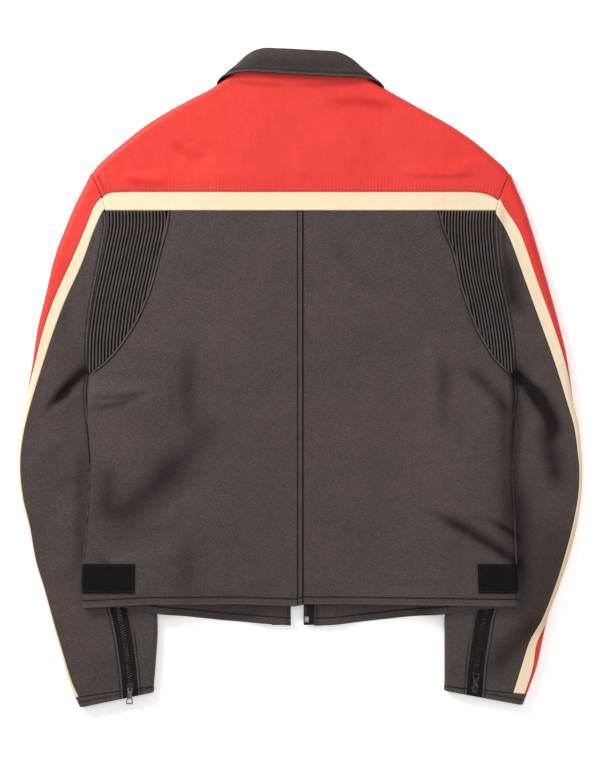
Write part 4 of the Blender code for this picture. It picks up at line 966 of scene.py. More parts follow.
# %% [markdown]
# ## The body
#
# Now each panel of the body gets its surface. The back panels, the stripe, the yoke and the ribbed panels are
# what the camera sees, so they get the finest grids. The fronts lie below, and a coarser grid is enough.

# %% Surfaces of the panels beside the side folds
FOLD_STARTS = 4 * MM  # the side fold grows over this length above the armpit
LEAST_RADIUS = 0.5 * MM


def side_surface(side, layer, top, hem, hem_line, boundary, far_edge):
    """A body panel beside a side fold: a runs from its top (0) to the hem (1), b from the side (0) in (1)."""
    sign = SIDES[side]
    hem_x, hem_y = np.array(hem_line, float).T * MM

    def surface(a, b):
        level = top + a * (hem - top)
        start = boundary(level)
        low, high = body_levels(start, level)
        closed = ease((ARMPIT_Y + FOLD_STARTS - level) / FOLD_STARTS)
        radius = np.maximum((high - low) / 2 * closed, LEAST_RADIUS)
        girth = (start - far_edge) * sign + (np.pi / 2 - 1) * radius
        x = start - sign * fold_run(b * girth, radius)
        y = level + ease(a) * (np.interp(x, hem_x, hem_y) - hem)
        return x, y, body_z(x, y, layer, b)

    return surface


def boundary_of(side, seam):
    """Where a panel starts: at the seam above the armpit, and at the side fold below it."""
    return lambda level: np.where(level > ARMPIT_Y, x_on(seam[side], level), x_on(SIDE_LINE[side], level))


def back_surface(side):
    return side_surface(side, 1, STRIPE_BOTTOM, BACK_HEM, BACK_HEM_LINE, boundary_of(side, CURVED_LINE), CENTRE_BACK)


def front_surface(side):
    return side_surface(side, -1, FRONT_YOKE_Y, FRONT_HEM, FRONT_HEM_LINE, boundary_of(side, ARMHOLE_LINE),
                        FRONT_EDGE[side])


def above_armpit(base):
    """1 for points above the armpit and 0 below it, which says what part of an edge is the curved seam."""
    return ease((base[..., 1] - ARMPIT_Y + 2 * MM) / (8 * MM))


def below_armpit(base):
    return 1 - above_armpit(base)


# %% Puckers that run out from the curved seam
def gathered(side):
    """Small folds in the leather that start at the curved seam and die away from it."""
    path = np.c_[CURVED_LINE[side], np.zeros(len(CURVED_LINE[side]))]

    def extra(base, *_):
        flat = base * (1, 1, 0)
        near = near_path(flat, path, 60 * MM) & (base[..., 1] > -40 * MM)
        high = np.zeros(near.shape)
        d, along = line_distance(flat[near], path)
        share = ease((along / MM - 90) / 60) * bell(d, 14 * MM, 13 * MM)
        high[near] = 0.16 * MM * share * uneven_wave(along, 9.5 * MM, (23 * MM, 2))
        return high

    return extra


# %% Back and front panels
FINE, COARSE = 2.4, 6  # distance between the points of a panel, in mm: where it shows and where it doesn't
down, across = spaced(493, FINE, NEAR_STITCH), spaced(272, FINE, NEAR_STITCH)
for side in SIDES:
    centre = "lapped" if side == "left" else "centre"  # the left half is lapped over the right one
    wall(f"leather_back_{side}", f"back_{side}", back_surface(side), down, across, LOOKS["dark"], (0, 0, 1),
         [("a0", "seam"), ("a1", "hem"), ("b0", "curved", above_armpit), ("b0", "side", below_armpit),
          ("b1", centre)], gathered(side))
down, across = spaced(500, COARSE, NEAR_STITCH), spaced(265, COARSE, NEAR_STITCH)
for side in SIDES:
    wall(f"leather_front_{side}", f"front_{side}", front_surface(side), down, across, LOOKS["dark"], (0, 0, -1),
         [("a0", "seam"), ("a1", "hem"), ("b0", "plain"), ("b1", "folded")],
         backing=DARK_LEATHER)


# %% Ribbed panels
RIB_SHARE = 0.975  # where the ribs end, as a share of the panel's width
RIB_HIGH, RIB_BELOW = 2.2 * MM, 0.62  # height of a rib, and the share of it that lies below the panel's surface
POINTS_A_RIB = 9
ROLL_HIGH, ROLL_BELOW = 0.5 * MM, 0.6 * MM
ROLL_SHARE = {"left": 0.75, "right": 0.35}


def roll_width(side, y):
    """Width of the smooth roll of leather between the armhole seam and the first rib."""
    widths = np.array([1.0, 1.2, 3.0, 6.6]) * ROLL_SHARE[side] * MM
    return np.interp(y, np.array([4, 48, 118, 209]) * MM, widths)


def stretch_surface(side):
    """The ribbed panel: a goes along a rib from the stripe (0) to the curved seam (1), b across the ribs."""
    hole, seam = ARMHOLE_LINE[side], CURVED_LINE[side]
    level = np.linspace(STRIPE_BOTTOM, ARMPIT_Y, 200)
    spread = np.abs(x_on(seam, level) - x_on(hole, level))
    whole, roll = spread[0], roll_width(side, STRIPE_BOTTOM)
    share = np.minimum.accumulate((spread - roll_width(side, level) + roll) / whole)

    def surface(a, b):
        end = np.interp(-np.clip(b, 0, 1), -share, level)
        y = STRIPE_BOTTOM + a * (end - STRIPE_BOTTOM)
        in_roll = np.minimum(b * whole / roll, 1.0)
        x = x_on(hole, y) - SIDES[side] * (in_roll * roll_width(side, y) + np.maximum(b * whole - roll, 0))
        return x, y, body_z(x, y, 1)

    return surface


def rib_profile(b, roll):
    """Height of the ribs from 0 to 1: narrow round ridges with wide valleys between, from `roll` on."""
    phase = np.clip((b - roll) / (RIB_SHARE - roll), 0, 1) * RIB_COUNT
    return np.abs(np.sin(np.pi * phase)) ** 1.5


def ribs_after(roll):
    """Ribs that flatten out over the last millimetres before the stripe, and the smooth roll beside them."""

    def extra(_, a, b):
        up = RIB_HIGH * (rib_profile(b, roll) - RIB_BELOW)
        beside = ROLL_HIGH * np.sin(np.pi * np.clip(b / roll, 0, 1)) - ROLL_BELOW
        return np.where(b < roll, beside, up) * (0.35 + 0.65 * ease(a / 0.03))

    return extra


down = spaced(205, 3.4)
for side in SIDES:
    whole = float(abs(CURVED_LINE[side][0, 0] - x_on(ARMHOLE_LINE[side], STRIPE_BOTTOM)))
    roll = roll_width(side, STRIPE_BOTTOM) / whole
    across = np.concatenate([roll * np.linspace(0, 1, 7)[:-1],
                             np.linspace(roll, RIB_SHARE, RIB_COUNT * POINTS_A_RIB + 1)])
    piece = wall(f"leather_stretch_{side}", f"stretch_panel_{side}", stretch_surface(side), down, across,
                 LOOKS["ribbed"], (0, 0, 1), [("a0", "plain")], ribs_after(roll))
    # Painted shade for the ribbed panel: near black in the valleys between the ribs, and RIB_BELOW dark on the smooth
    # roll beside them.
    valley_shade = np.where(across < roll, RIB_BELOW, 1 - ease((rib_profile(across, roll) - 0.30) / 0.5))
    valley_shade = np.broadcast_to(valley_shade, (len(down), len(across)))
    mark(piece, "crevice_shade", valley_shade, valley_shade)


# %% Stripe across the back
STRIPE_HALF = 248.5 * MM


def stripe_top(x):
    """y of the stripe's top seam."""
    line_x, line_y = np.array(STRIPE_LINE, float).T * MM
    return np.interp(x, line_x, line_y)


def stripe_surface(a, b):
    """The cream stripe across the back: a across it from its lower seam, b from left to right."""
    y = STRIPE_BOTTOM + a * (stripe_top((b - 0.5) * 2 * STRIPE_HALF) - STRIPE_BOTTOM)
    left, right = (x_on(hole, y) for hole in ARMHOLE_LINE.values())
    x = left + b * (right - left)
    return x, y, body_z(x, y, 1)


wall("leather_stripe", "back_stripe", stripe_surface, spaced(23, 2), spaced(490, 2.2), LOOKS["cream"], (0, 0, 1),
     [(edge, "soft") for edge in EVERY_EDGE])


# %% Yokes
def fan_surface(layer, path, foot, foot_y, fold_radius, holes):
    """A yoke: b goes along its foot (0 to 1) and along its top path, a from the top path (0) to the foot.

    foot_y gives y of the foot from x. holes are the armhole seams at its ends b = 0 and b = 1, or None where
    an end is straight.
    """

    def surface(a, b):
        place = np.clip(b, 0, 1)
        top_x, top_y = (np.interp(place * (len(path) - 1), np.arange(len(path)), column) for column in path.T)
        foot_x = foot[0] + place * (foot[1] - foot[0])
        down_to = foot_y(foot_x)
        run = np.hypot(foot_x - top_x, down_to - top_y)
        share = fold_run(a * (run + (np.pi / 2 - 1) * fold_radius), fold_radius) / run
        x, y = top_x + share * (foot_x - top_x), top_y + share * (down_to - top_y)
        for hole, end, from_end in zip(holes, (0, -1), (b, 1 - b)):
            if hole is not None:
                corner_x, corner_y = path[end]
                way = corner_y + share * (foot_y(foot[end]) - corner_y)
                bulge = x_on(hole, way) - (corner_x + share * (foot[end] - corner_x))
                x = x + bulge * ease(1 - from_end / 0.2)
        return x, y, body_z(x, y, layer, a)

    return surface


def yoke_band(base, *_):
    """The fine upright puckers between the yoke's two rows of topstitch, and a soft swell above them."""
    up = base[..., 1] - stripe_top(base[..., 0])
    between = ease((up - 2 * MM) / (2 * MM)) * (1 - ease((up - 10 * MM) / (5 * MM)))
    puckers = uneven_wave(base[..., 0], 4.3 * MM, (31 * MM, 1.5)) * between
    return 0.20 * MM * puckers + 0.45 * MM * bell(up, 21 * MM, 9 * MM) - 0.25 * MM * bell(up, 2 * MM, 0.8 * MM)


neck = line(BACK_NECK)
yoke_path = even(np.concatenate([SHOULDER_LINE["left"], neck[1:-1], SHOULDER_LINE["right"][::-1]]), 480)
foot = [float(x_on(ARMHOLE_LINE[side], STRIPE_LINE[end][1] * MM)) for side, end in (("left", 1), ("right", -1))]
wall("leather_yoke", "back_yoke", fan_surface(1, yoke_path, foot, stripe_top, TOP / 2, list(ARMHOLE_LINE.values())),
     spaced(152, 2.6), spaced(560, 1.25, NEAR_STITCH), LOOKS["red"], (0, 0, 1),
     [("a0", "plain"), ("a1", "foot"), ("b0", "armhole"), ("b1", "armhole")], yoke_band)
for side in SIDES:
    neck = line(FRONT_NECK[side])
    path = even(np.concatenate([SHOULDER_LINE[side], neck[1:]]))
    foot = (float(x_on(ARMHOLE_LINE[side], FRONT_YOKE_Y)), FRONT_EDGE[side])
    surface = fan_surface(-1, path, foot, lambda x: x * 0 + FRONT_YOKE_Y, (TOP - ZIP_LIFT / 2) / 2,
                          (ARMHOLE_LINE[side], None))
    wall(f"leather_front_yoke_{side}", f"front_yoke_{side}", surface, spaced(150, 5), spaced(300, 5), LOOKS["red"],
         (0, 0, -1), [("a0", "plain"), ("a1", "seam"), ("b0", "armhole"), ("b1", "folded")])


# %% Hook-and-loop patches
LEVEL_HEM = [(-272, BACK_HEM / MM), (272, BACK_HEM / MM)]
PATCH_TOP, PATCH_BOTTOM, PATCH_HIGH = -231.5 * MM, -268 * MM, 38
PATCH_WIDTHS = {"left": 66, "right": 50}
BACK_LONG = STRIPE_BOTTOM - BACK_HEM


def loops_over(whole):
    """A mat that is a little uneven, pulled down by the stitching near its edge."""

    def extra(_, a, b):
        rough = np.random.default_rng(11).uniform(-0.16, 0.16, a.shape) * MM
        inset = np.minimum(np.minimum(a - a.min(), a.max() - a) * BACK_LONG, np.minimum(b, b.max() - b) * whole)
        return rough - 0.2 * MM * bell(inset, 2.6 * MM, 0.7 * MM)

    return extra


for side, width in PATCH_WIDTHS.items():
    down = (STRIPE_BOTTOM - (PATCH_TOP + spaced(PATCH_HIGH, 1.0) * (PATCH_BOTTOM - PATCH_TOP))) / BACK_LONG
    whole = abs(SIDE_LINE[side][-20][0] - CENTRE_BACK)
    across = spaced(width, 1.0) * width * MM / whole
    surface = side_surface(side, 1, STRIPE_BOTTOM, BACK_HEM, LEVEL_HEM, boundary_of(side, CURVED_LINE), CENTRE_BACK)
    wall(f"hook_and_loop_{side}", f"hook_patch_{side}", surface, down, across, LOOKS["fuzzy"], (0, 0, 1),
         [(edge, "plain") for edge in EVERY_EDGE], loops_over(whole),
         high=1.9 * MM, thick=-0.3 * MM)

# %% [markdown]
# ## The sleeves
#
# A sleeve is a flattened tube. One function gives any point on its outer face from two numbers: which row of the
# table it is on, and how far round the leather it is from the outer fold. Each panel is a patch of that surface
# between two seams.

# %% The tube
SHARP = 0.2 * MM  # radius of the inner fold where it has only just begun, at the armpit
THIN_OVER = 45 * MM  # over this the sleeve thins towards its inner fold
CREASE_FROM = 25 * MM  # creases grow to their full height this far out from the side fold
FINE_SHARE = 0.8  # how much the fine creases count


def sleeve_row(side, row):
    """The sleeve's table columns at a place between its rows."""
    rows = SLEEVE_ROWS[side]
    at = {name: through(np.arange(len(SLEEVE[side])), rows[name], row) for name in SLEEVE_COLUMNS}
    at["far_x"] = np.where(row < ARMPIT_ROW, x_on(ARMHOLE_LINE[side], at["far_y"]), at["far_x"])
    return at


def sleeve_girth(side, row):
    """Half the way round a sleeve at a row, its width, and the radii of its outer and inner folds."""
    at = sleeve_row(side, row)
    span = np.hypot(at["far_x"] - at["outer_x"], at["far_y"] - at["outer_y"])
    outer = (SLEEVE_THICK + (FOREARM_THICK - SLEEVE_THICK) * ease((row - 5) / 5)) / 2
    inner = SHARP + (at["thin"] / 2 - SHARP) * ease((row - ARMPIT_ROW) * 2)
    return span + (np.pi / 2 - 1) * (outer + inner), span, outer, inner


def sleeve_surface(side):
    """A sleeve's outer face: row runs down it, and q round it in metres from the outer fold.

    q grows over the top to the inner fold and on round it; a negative q goes over the underside.
    """
    pit_x, pit_y = SLEEVE_ROWS[side]["far_x"][ARMPIT_ROW], SLEEVE_ROWS[side]["far_y"][ARMPIT_ROW]

    def surface(row, q):
        at = sleeve_row(side, row)
        half, span, outer, inner = sleeve_girth(side, row)
        past = (np.abs(q) > half) & (row > ARMPIT_ROW)
        way = np.where(past, 2 * half - np.abs(q), np.abs(q))
        layer = np.where(q < 0, -1.0, 1.0) * np.where(past, -1.0, 1.0)
        from_far = np.maximum(half - way, 0)
        run = np.where(from_far < inner * np.pi / 2, span - fold_run(from_far, inner), fold_run(way, outer))
        x, y = (at[f"outer_{axis}"] + run / span * (at[f"far_{axis}"] - at[f"outer_{axis}"]) for axis in "xy")
        thick = at["thin"] + (2 * outer - at["thin"]) * ease((span - run) / THIN_OVER)
        tube = np.sin(np.minimum(from_far / inner, np.pi / 2))
        pit = np.clip(np.hypot(x - pit_x, y - pit_y) / outer, 0, 1)
        inner_close = np.where(row > ARMPIT_ROW, tube, np.sqrt(1 - (1 - pit) ** 2))
        closing = np.sin(np.minimum(way / outer, np.pi / 2)) * inner_close
        outside = ease((x * SIDES[side] - x_on(SIDE_LINE[side], y) * SIDES[side]) / CREASE_FROM)
        crease = (relief(x, y, SLEEVE_FOLDS) + FINE_SHARE * relief(x, y, FINE_SLEEVE_FOLDS)) * outside
        crease = crease + undulation(x, y) * np.where(row > ARMPIT_ROW, outside, 1.0)
        return x, y, thick / 2 * (1 + layer * closing) + np.where(layer > 0, crease * closing**2, 0)

    return surface


def patch_surface(side, from_q, to_q, spacing=lambda row, b: b):
    """A patch of a sleeve: a is its row, and b runs from one seam (0) to the other (1)."""
    whole = sleeve_surface(side)

    def surface(row, b):
        low, high = from_q(row), to_q(row)
        return whole(row, low + spacing(row, b) * (high - low))

    return surface


# %% Seams of the sleeve
def at_zip(side, over=1, offset=0.0):
    """The way round to the cuff zip, over the top (1) or below (-1), plus an offset, as a function of the row."""
    return lambda row: over * sleeve_girth(side, row)[0] - sleeve_row(side, row)["seam"] + offset


def sleeve_seams(side):
    """The sleeve's seams, each as a function of the row that gives its way round from the outer fold."""

    def half(row):
        return sleeve_girth(side, row)[0]

    def clipped(name):
        def seam(row):
            way = sleeve_row(side, row)[name]
            return np.where(row < ARMPIT_ROW, np.minimum(way, half(row)), way)

        return seam

    def rear(over):
        """The rear edge of the top (1) or the under panel (-1): the armhole, then the back seam, then the zip."""
        return lambda row: (over * half(row) - sleeve_row(side, row)["seam"] * (row > ARMPIT_ROW)
                            - over * ZIP_HALF * ease((row - ZIP_ROW) / 0.02))

    def red_edge(row):
        return -np.where(row < UNDER_START, half(row), RED_BELOW * (1 - 0.25 * ease((row - 8) / 10)))

    return {"cream_in": clipped("cream_in"), "cream_out": clipped("cream_out"), "back": rear(1),
            "under": rear(-1), "red": red_edge, "half": half}


NEAR_END = np.array([0, 0.005, 0.012, 0.025, 0.045, 0.075])  # rows close together at both ends
ROUND_STOP = np.array([-0.05, -0.025, -0.01, 0, 0.02, 0.03, 0.05, 0.08])  # and around a stop


def rows_between(start, end, per_row, stops=()):
    """Rows from start to end, `per_row` to each row of the table, close together at both ends and at stops."""
    regular = np.linspace(start + 0.11, end - 0.11, int((end - start) * per_row))
    found = np.concatenate([start + NEAR_END, regular, end - NEAR_END])
    for stop in stops:
        found = np.concatenate([found[(found < stop - 0.06) | (found > stop + 0.09)], stop + ROUND_STOP])
    return np.unique(found)


def outward_of(points):
    """Rough way out of a sleeve: away from the middle of its thickness."""
    return (points - (0, 0, FOREARM_THICK / 2)) * (0, 0, 1)


# %% Panels of both sleeves
BEFORE_TURN, PAST_TURN = 0.35, 0.7  # the shares of the under panel's points before and up to the end of its turn


def under_spacing(side):
    """Spacing of the under panel's points: even at the armhole, and close together round the inner fold."""
    seams = sleeve_seams(side)

    def spacing(row, b):
        red, under, half = seams["red"](row), seams["under"](row), seams["half"](row)
        turn = sleeve_girth(side, row)[3] * np.pi / 2
        start, end = -half + turn, -half - np.minimum(turn, 0.55 * np.abs(under + half))
        start, end = ((way - red) / (under - red) for way in (start, end))
        turning = start + (b - BEFORE_TURN) / (PAST_TURN - BEFORE_TURN) * (end - start)
        tube = np.where(b < BEFORE_TURN, b / BEFORE_TURN * start,
                        np.where(b < PAST_TURN, turning, end + (b - PAST_TURN) / (1 - PAST_TURN) * (1 - end)))
        return b + ease((row - ARMPIT_ROW) * 2) * (tube - b)

    return spacing


for side in SIDES:
    seams, band = sleeve_seams(side), len(SLEEVE[side]) - 2
    wall(f"leather_sleeve_red_{side}", f"sleeve_red_{side}", patch_surface(side, seams["red"], seams["cream_out"]),
         rows_between(0, band, 11), spaced(92, 3.2), LOOKS["red"], outward_of,
         [("b0", "plain"), ("b1", "seam"), ("a1", "seam")])
    wall(f"leather_sleeve_stripe_{side}", f"sleeve_stripe_{side}",
         patch_surface(side, seams["cream_out"], seams["cream_in"]),
         rows_between(CREAM_START["out"] + 0.02, band, 14), spaced(14, 1.6, NEAR_EDGE[:7]), LOOKS["cream"],
         outward_of, [("b0", "soft"), ("b1", "soft"), ("a1", "seam")])
    wall(f"leather_sleeve_back_{side}", f"sleeve_back_{side}", patch_surface(side, seams["cream_in"], seams["back"]),
         rows_between(CREAM_START["in"] + 0.02, band, 15, [ZIP_ROW]), spaced(92, FINE, NEAR_STITCH), LOOKS["dark"],
         (0, 0, 1), [("b0", "seam"), ("b1", "folded"), ("a1", "seam")])
    wall(f"leather_sleeve_under_{side}", f"sleeve_under_{side}",
         patch_surface(side, seams["red"], seams["under"], under_spacing(side)),
         rows_between(UNDER_START, band, 12, [ZIP_ROW]), np.linspace(0, 1, 44), LOOKS["dark"], outward_of,
         [("b0", "plain"), ("b1", "folded"), ("a1", "seam")])


# %% Cuff bands and cuff zip tapes
TAPE_THICK, TAPE_BELOW = 1.2 * MM, 0.6 * MM
for side in SIDES:
    last = len(SLEEVE[side]) - 1
    wall(f"leather_cuff_band_{side}", f"cuff_band_{side}",
         patch_surface(side, at_zip(side, -1, ZIP_HALF), at_zip(side, 1, -ZIP_HALF)),
         last - 1 + spaced(12, 1.2, NEAR_EDGE[:7]), spaced(212, 2.0), LOOKS["dark"], outward_of,
         [("a0", "seam"), ("a1", "cuff"), ("b0", "folded"), ("b1", "folded")])
    wall(f"cuff_tape_{side}", f"cuff_zip_tape_{side}",
         patch_surface(side, at_zip(side, 1, -ZIP_HALF), at_zip(side, 1, ZIP_HALF)),
         np.linspace(ZIP_ROW + 0.02, last, 90), spaced(18.4, 1.2, NEAR_EDGE[:5]), LOOKS["tape"],
         (0, 0, 1), high=-TAPE_BELOW, thick=TAPE_THICK + TAPE_BELOW)

# %% [markdown]
# ## The collar
#
# The collar is one folded piece. Each row of its table is a section across the neck, with three points: where the
# stand is sewn on, where it rolls over, and where the leaf ends.

# %% Collar
SECTION_STOPS = (0, 0.34, 0.47, 0.6, 1)  # seam, stand, roll, top of the leaf and leaf edge, as shares of the way


def collar_surface(a, b):
    """The collar: b goes round it from the left front end (0) to the right (1), a from seam to leaf edge."""
    table = dict(zip(COLLAR_COLUMNS, np.array(COLLAR, float).T))
    place = (1 - np.abs(np.clip(b, 0, 1) * 2 - 1)) * (len(COLLAR) - 1)
    mirror = np.where(b > 0.5, -1.0, 1.0)
    at = {name: through(np.arange(len(COLLAR)), table[name], place) for name in COLLAR_COLUMNS}
    seam, roll, edge = (np.stack([at[f"{name}_x"] * mirror, at[f"{name}_y"], at[f"{name}_z"]], -1) * MM
                        for name in ("seam", "roll", "edge"))
    angle = np.radians(at["out"])
    out = np.stack([np.cos(angle) * mirror, np.zeros_like(angle), np.sin(angle)], -1)
    swell = (0.3 + 1.7 * ease((place - 4) / 5))[..., None] * MM * out
    stops = (seam, seam + 0.78 * (roll - seam) - swell, roll, roll + 0.2 * (edge - roll) + swell, edge)
    found = sum(stop * through(SECTION_STOPS, counts, a)[..., None] for stop, counts in zip(stops, np.eye(5)))
    height = np.maximum(found[..., 2], WALL / 2 + 0.2 * MM)
    return found[..., 0], found[..., 1] + COLLAR_TILT * np.clip(found[..., 0], -TILTED_TO, TILTED_TO), height


def collar_roll(base, a, _):
    """A soft swell along the leaf, and the leather's waviness."""
    return 0.25 * MM * bell(a, 0.72, 0.09) + 0.8 * undulation(base[..., 0], base[..., 1])


wall("leather_collar", "collar", collar_surface, spaced(78, 1.6), spaced(430, 2.0), LOOKS["dark"], (0, 1, 0),
     [("a0", "plain"), ("a1", "leaf"), ("b0", "folded"), ("b1", "folded")], collar_roll,
     high=WALL / 2, thick=WALL / 2)


# %% [markdown]
# ## Stitching
#
# A row of topstitch is many short threads. Each is a small capsule that lies in the groove and dips into the
# leather at both ends. You lay them along lines that run at a set distance from a panel's edge.

# %% Lines on a panel
def inset_line(name, edge, inset, skip=(0.0, 0.0)):
    """Points and outward normals on a panel's outer face, `inset` mm in from an edge.

    skip leaves out that many mm at the line's start and end.
    """
    grid, facing = OUTER[name]
    if edge[0] == "b":
        grid, facing = grid.swapaxes(0, 1), facing.swapaxes(0, 1)
    if edge[1] == "1":
        grid, facing = grid[::-1], facing[::-1]
    run = np.cumsum(np.linalg.norm(np.diff(grid, axis=0, prepend=grid[:1]), axis=-1), axis=0)
    low = np.clip((run < inset * MM).sum(axis=0) - 1, 0, len(grid) - 2)
    pick = np.arange(grid.shape[1])
    share = (inset * MM - run[low, pick]) / np.maximum(run[low + 1, pick] - run[low, pick], 1e-9)
    share = np.clip(share, 0, 1)[:, None]
    points, out = (field[low, pick] * (1 - share) + field[low + 1, pick] * share for field in (grid, facing))
    along = lengths_along(points)
    keep = (along >= skip[0] * MM) & (along <= along[-1] - skip[1] * MM)
    return points[keep], out[keep]


def places_on(points, out, pitch, start, end, ahead, behind=0.0):
    """Places `pitch` apart on a line, from `start` to `end` before its last point, with the ways along and out."""
    along = lengths_along(points)
    at = np.arange(start, along[-1] - end, pitch)
    way = at_lengths(points, along, at + ahead) - at_lengths(points, along, at - behind)
    return at_lengths(points, along, at), unit(way), at_lengths(out, along, at)


# %% Capsules of thread
STITCH_SIDES = 6
# Each ring of a stitch: a place along it, a share of its radius and a height in radii.
STITCH_RINGS = ((-0.5, 0.25, -0.35), (-0.36, 0.85, 0.0), (0.0, 1.0, 0.28), (0.36, 0.85, 0.0), (0.5, 0.25, -0.35))
STITCH_LIFT = 0.25  # how far a stitch's middle lies above the leather, in radii


def stitch_faces():
    """The faces of one stitch: a belt between each two rings, and two faces to close each end."""
    last = (len(STITCH_RINGS) - 1) * STITCH_SIDES
    found = []
    for start in range(0, last, STITCH_SIDES):
        for k in range(STITCH_SIDES):
            a, b = start + k, start + (k + 1) % STITCH_SIDES
            found.append((a, b, b + STITCH_SIDES, a + STITCH_SIDES))
    found += [(0, 5, 4, 3), (0, 3, 2, 1), (last, last + 1, last + 2, last + 3), (last, last + 3, last + 4, last + 5)]
    return np.array(found)


def stitching(name, lines, look, pitch=3.2, length=2.5, radius=0.3):
    """One piece with a capsule at each stitch. Sizes are in mm."""
    placed = [places_on(points, out, pitch * MM, 0.5 * pitch * MM, 0, 0.6 * MM, 0.6 * MM)
              for points, out in lines if len(points) > 2]
    centre, way, out = (np.concatenate(parts) for parts in zip(*placed))
    side = unit(np.cross(way, out))
    up = np.cross(side, way)
    turn = np.linspace(0, 2 * np.pi, STITCH_SIDES, endpoint=False)[:, None]
    round_it = side[:, None] * np.cos(turn) + 0.8 * up[:, None] * np.sin(turn)
    rings = [(centre + way * place * length * MM + up * (high + STITCH_LIFT) * radius * MM)[:, None]
             + wide * radius * MM * round_it for place, wide, high in STITCH_RINGS]
    piece = small_parts(name, np.stack(rings, 1).reshape(len(centre), -1, 3), stitch_faces(), look)
    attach(piece, "jacket")


# %% Rows of topstitch
stitching("topstitch_yoke", [inset_line("leather_yoke", "a1", 2.2, (4, 4)),
                             *(inset_line("leather_yoke", end, 6.8, (13, 3)) for end in ("b0", "b1"))],
          THREADS["red"], radius=0.3, length=2.1)
body_lines = []
for side in SIDES:
    points, out = inset_line(f"leather_back_{side}", "b0", 3.2, (1, 0))
    keep = points[:, 1] > ARMPIT_Y + 3 * MM
    body_lines += [(points[keep], out[keep]), inset_line(f"leather_back_{side}", "a1", 9.3, (2, 2))]
    for face in (f"leather_front_{side}", f"leather_front_{side} inside"):
        body_lines += [inset_line(face, "a1", 9.3, (2, 4)), inset_line(face, "b1", 3.6, (2, 10))]
body_lines.append(inset_line("leather_back_left", "b1", 6.8, (1, 10)))
stitching("topstitch_body", body_lines, THREADS["black"], radius=0.26)
stitching("topstitch_collar", [inset_line("leather_collar", "a1", 4.8, (4, 4)),
                               *(inset_line("leather_collar", end, 3.6, (3, 3)) for end in ("b0", "b1"))],
          THREADS["dark"])
for side in SIDES:
    cuff_lines = [inset_line(f"leather_sleeve_back_{side}", "b1", 3.6, (4, 1)),
                  inset_line(f"leather_sleeve_under_{side}", "b1", 3.6, (4, 1)),
                  inset_line(f"leather_cuff_band_{side}", "a1", 6.5, (2, 2))]
    stitching(f"topstitch_sleeve_{side}", cuff_lines, THREADS["dark"])
    patch_lines = [inset_line(f"hook_and_loop_{side}", edge, 2.6, (2, 2)) for edge in EVERY_EDGE]
    stitching(f"topstitch_patch_{side}", patch_lines, THREADS["black"], pitch=2.6, length=2.0, radius=0.24)


# %% [markdown]
# ## Zips
#
# Metal teeth clamp onto the cord at the edge of each tape. The cuff zips are closed, so their two rows mesh. The
# front zip is open, and each front keeps its own row.

# %% Teeth
# Corners of a tooth: along its reach, across it as a share of the pitch, and up as a share of its height.
TOOTH = np.array([(-1.0, -0.42, 0), (0.15, -0.42, 0), (1.0, -0.30, 0), (1.0, 0.30, 0), (0.15, 0.42, 0),
                  (-1.0, 0.42, 0), (-0.92, -0.3, 0.6), (0.15, -0.3, 0.72), (0.86, -0.18, 0.5), (0.86, 0.18, 0.5),
                  (0.15, 0.3, 0.72), (-0.92, 0.3, 0.6)])
TOOTH_FACES = np.array([(0, 1, 7, 6), (1, 2, 8, 7), (2, 3, 9, 8), (3, 4, 10, 9), (4, 5, 11, 10), (5, 0, 6, 11),
                        (6, 7, 10, 11), (7, 8, 9, 10), (5, 4, 1, 0), (4, 3, 2, 1)])
TOOTH_WIDE = 0.55  # the share of the pitch that a tooth's width is measured by


def teeth(name, points, pitch, reach, height, rows, look):
    """A piece of zip teeth along a path. Sizes are in mm.

    rows lists (side, offset, shift): which way a row's teeth point, how far its clamp is from the path, and how
    far along the first tooth starts.
    """
    out = np.tile((0.0, 0.0, 1.0), (len(points), 1))
    corners, faces = [], []
    for sign, offset, shift in rows:
        place, way, up = places_on(points, out, pitch * MM, (shift + pitch) * MM, 0.5 * pitch * MM, MM)
        axes = np.stack([np.cross(way, up) * sign, way, up], 1)
        sizes = TOOTH * (reach, pitch * TOOTH_WIDE, height) + (offset, 0, 0)
        corners.append(place[:, None] + MM * sizes @ axes)
        faces.append(np.tile(TOOTH_FACES[:, ::sign], (len(place), 1, 1)))
    piece = small_parts(name, np.concatenate(corners), np.concatenate(faces), look)
    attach(piece, "jacket")


SLIDER_ROW = {"left": 17.88, "right": 18.95}
for side in SIDES:
    row = np.linspace(ZIP_ROW + 0.06, SLIDER_ROW[side] - 0.1, 160)[:, None]
    path = np.stack(sleeve_surface(side)(row, at_zip(side)(row)), -1)[:, 0] - (0, 0, 0.7 * MM)
    teeth(f"teeth_cuff_{side}", path, 3.2, 1.8, 1.9, [(1, -1.2, 0), (-1, -1.2, 1.6)],
          GUNMETAL if side == "left" else BLACKENED)


# %% Front zip tapes and their teeth
TAPE_TOP, TAPE_BOTTOM = 300 * MM, -309 * MM
TAPE_EDGES = {"left": (-14 * MM, -36 * MM), "right": (4 * MM, 27 * MM)}


def tape_surface(near, far):
    """A front tape: a runs down it, b from its edge at the teeth (0) to its other edge (1)."""

    def surface(a, b):
        x, y = near + b * (far - near), TAPE_TOP + a * (TAPE_BOTTOM - TAPE_TOP)
        return x, y, body_levels(x, y)[0]

    return surface


for side, (near, far) in TAPE_EDGES.items():
    wall(f"front_tape_{side}", f"front_zip_tape_{side}", tape_surface(near, far), spaced(609, 6),
         spaced(22, 1.4, NEAR_EDGE[:5]), LOOKS["tape"], (0, 0, -1),
         high=1.5 * MM, thick=-0.3 * MM)
    inward = -SIDES[side]
    y = np.linspace(TAPE_TOP - 8 * MM, TAPE_BOTTOM + 9 * MM, 200)
    x = np.full_like(y, near - inward * 2.2 * MM)
    path = np.stack([x, y, body_levels(x, y)[0] - 0.3 * MM], 1)
    teeth(f"teeth_front_{side}", path, 2.5, 2.2, 1.5, [(-inward, 0, 0)], GUNMETAL)


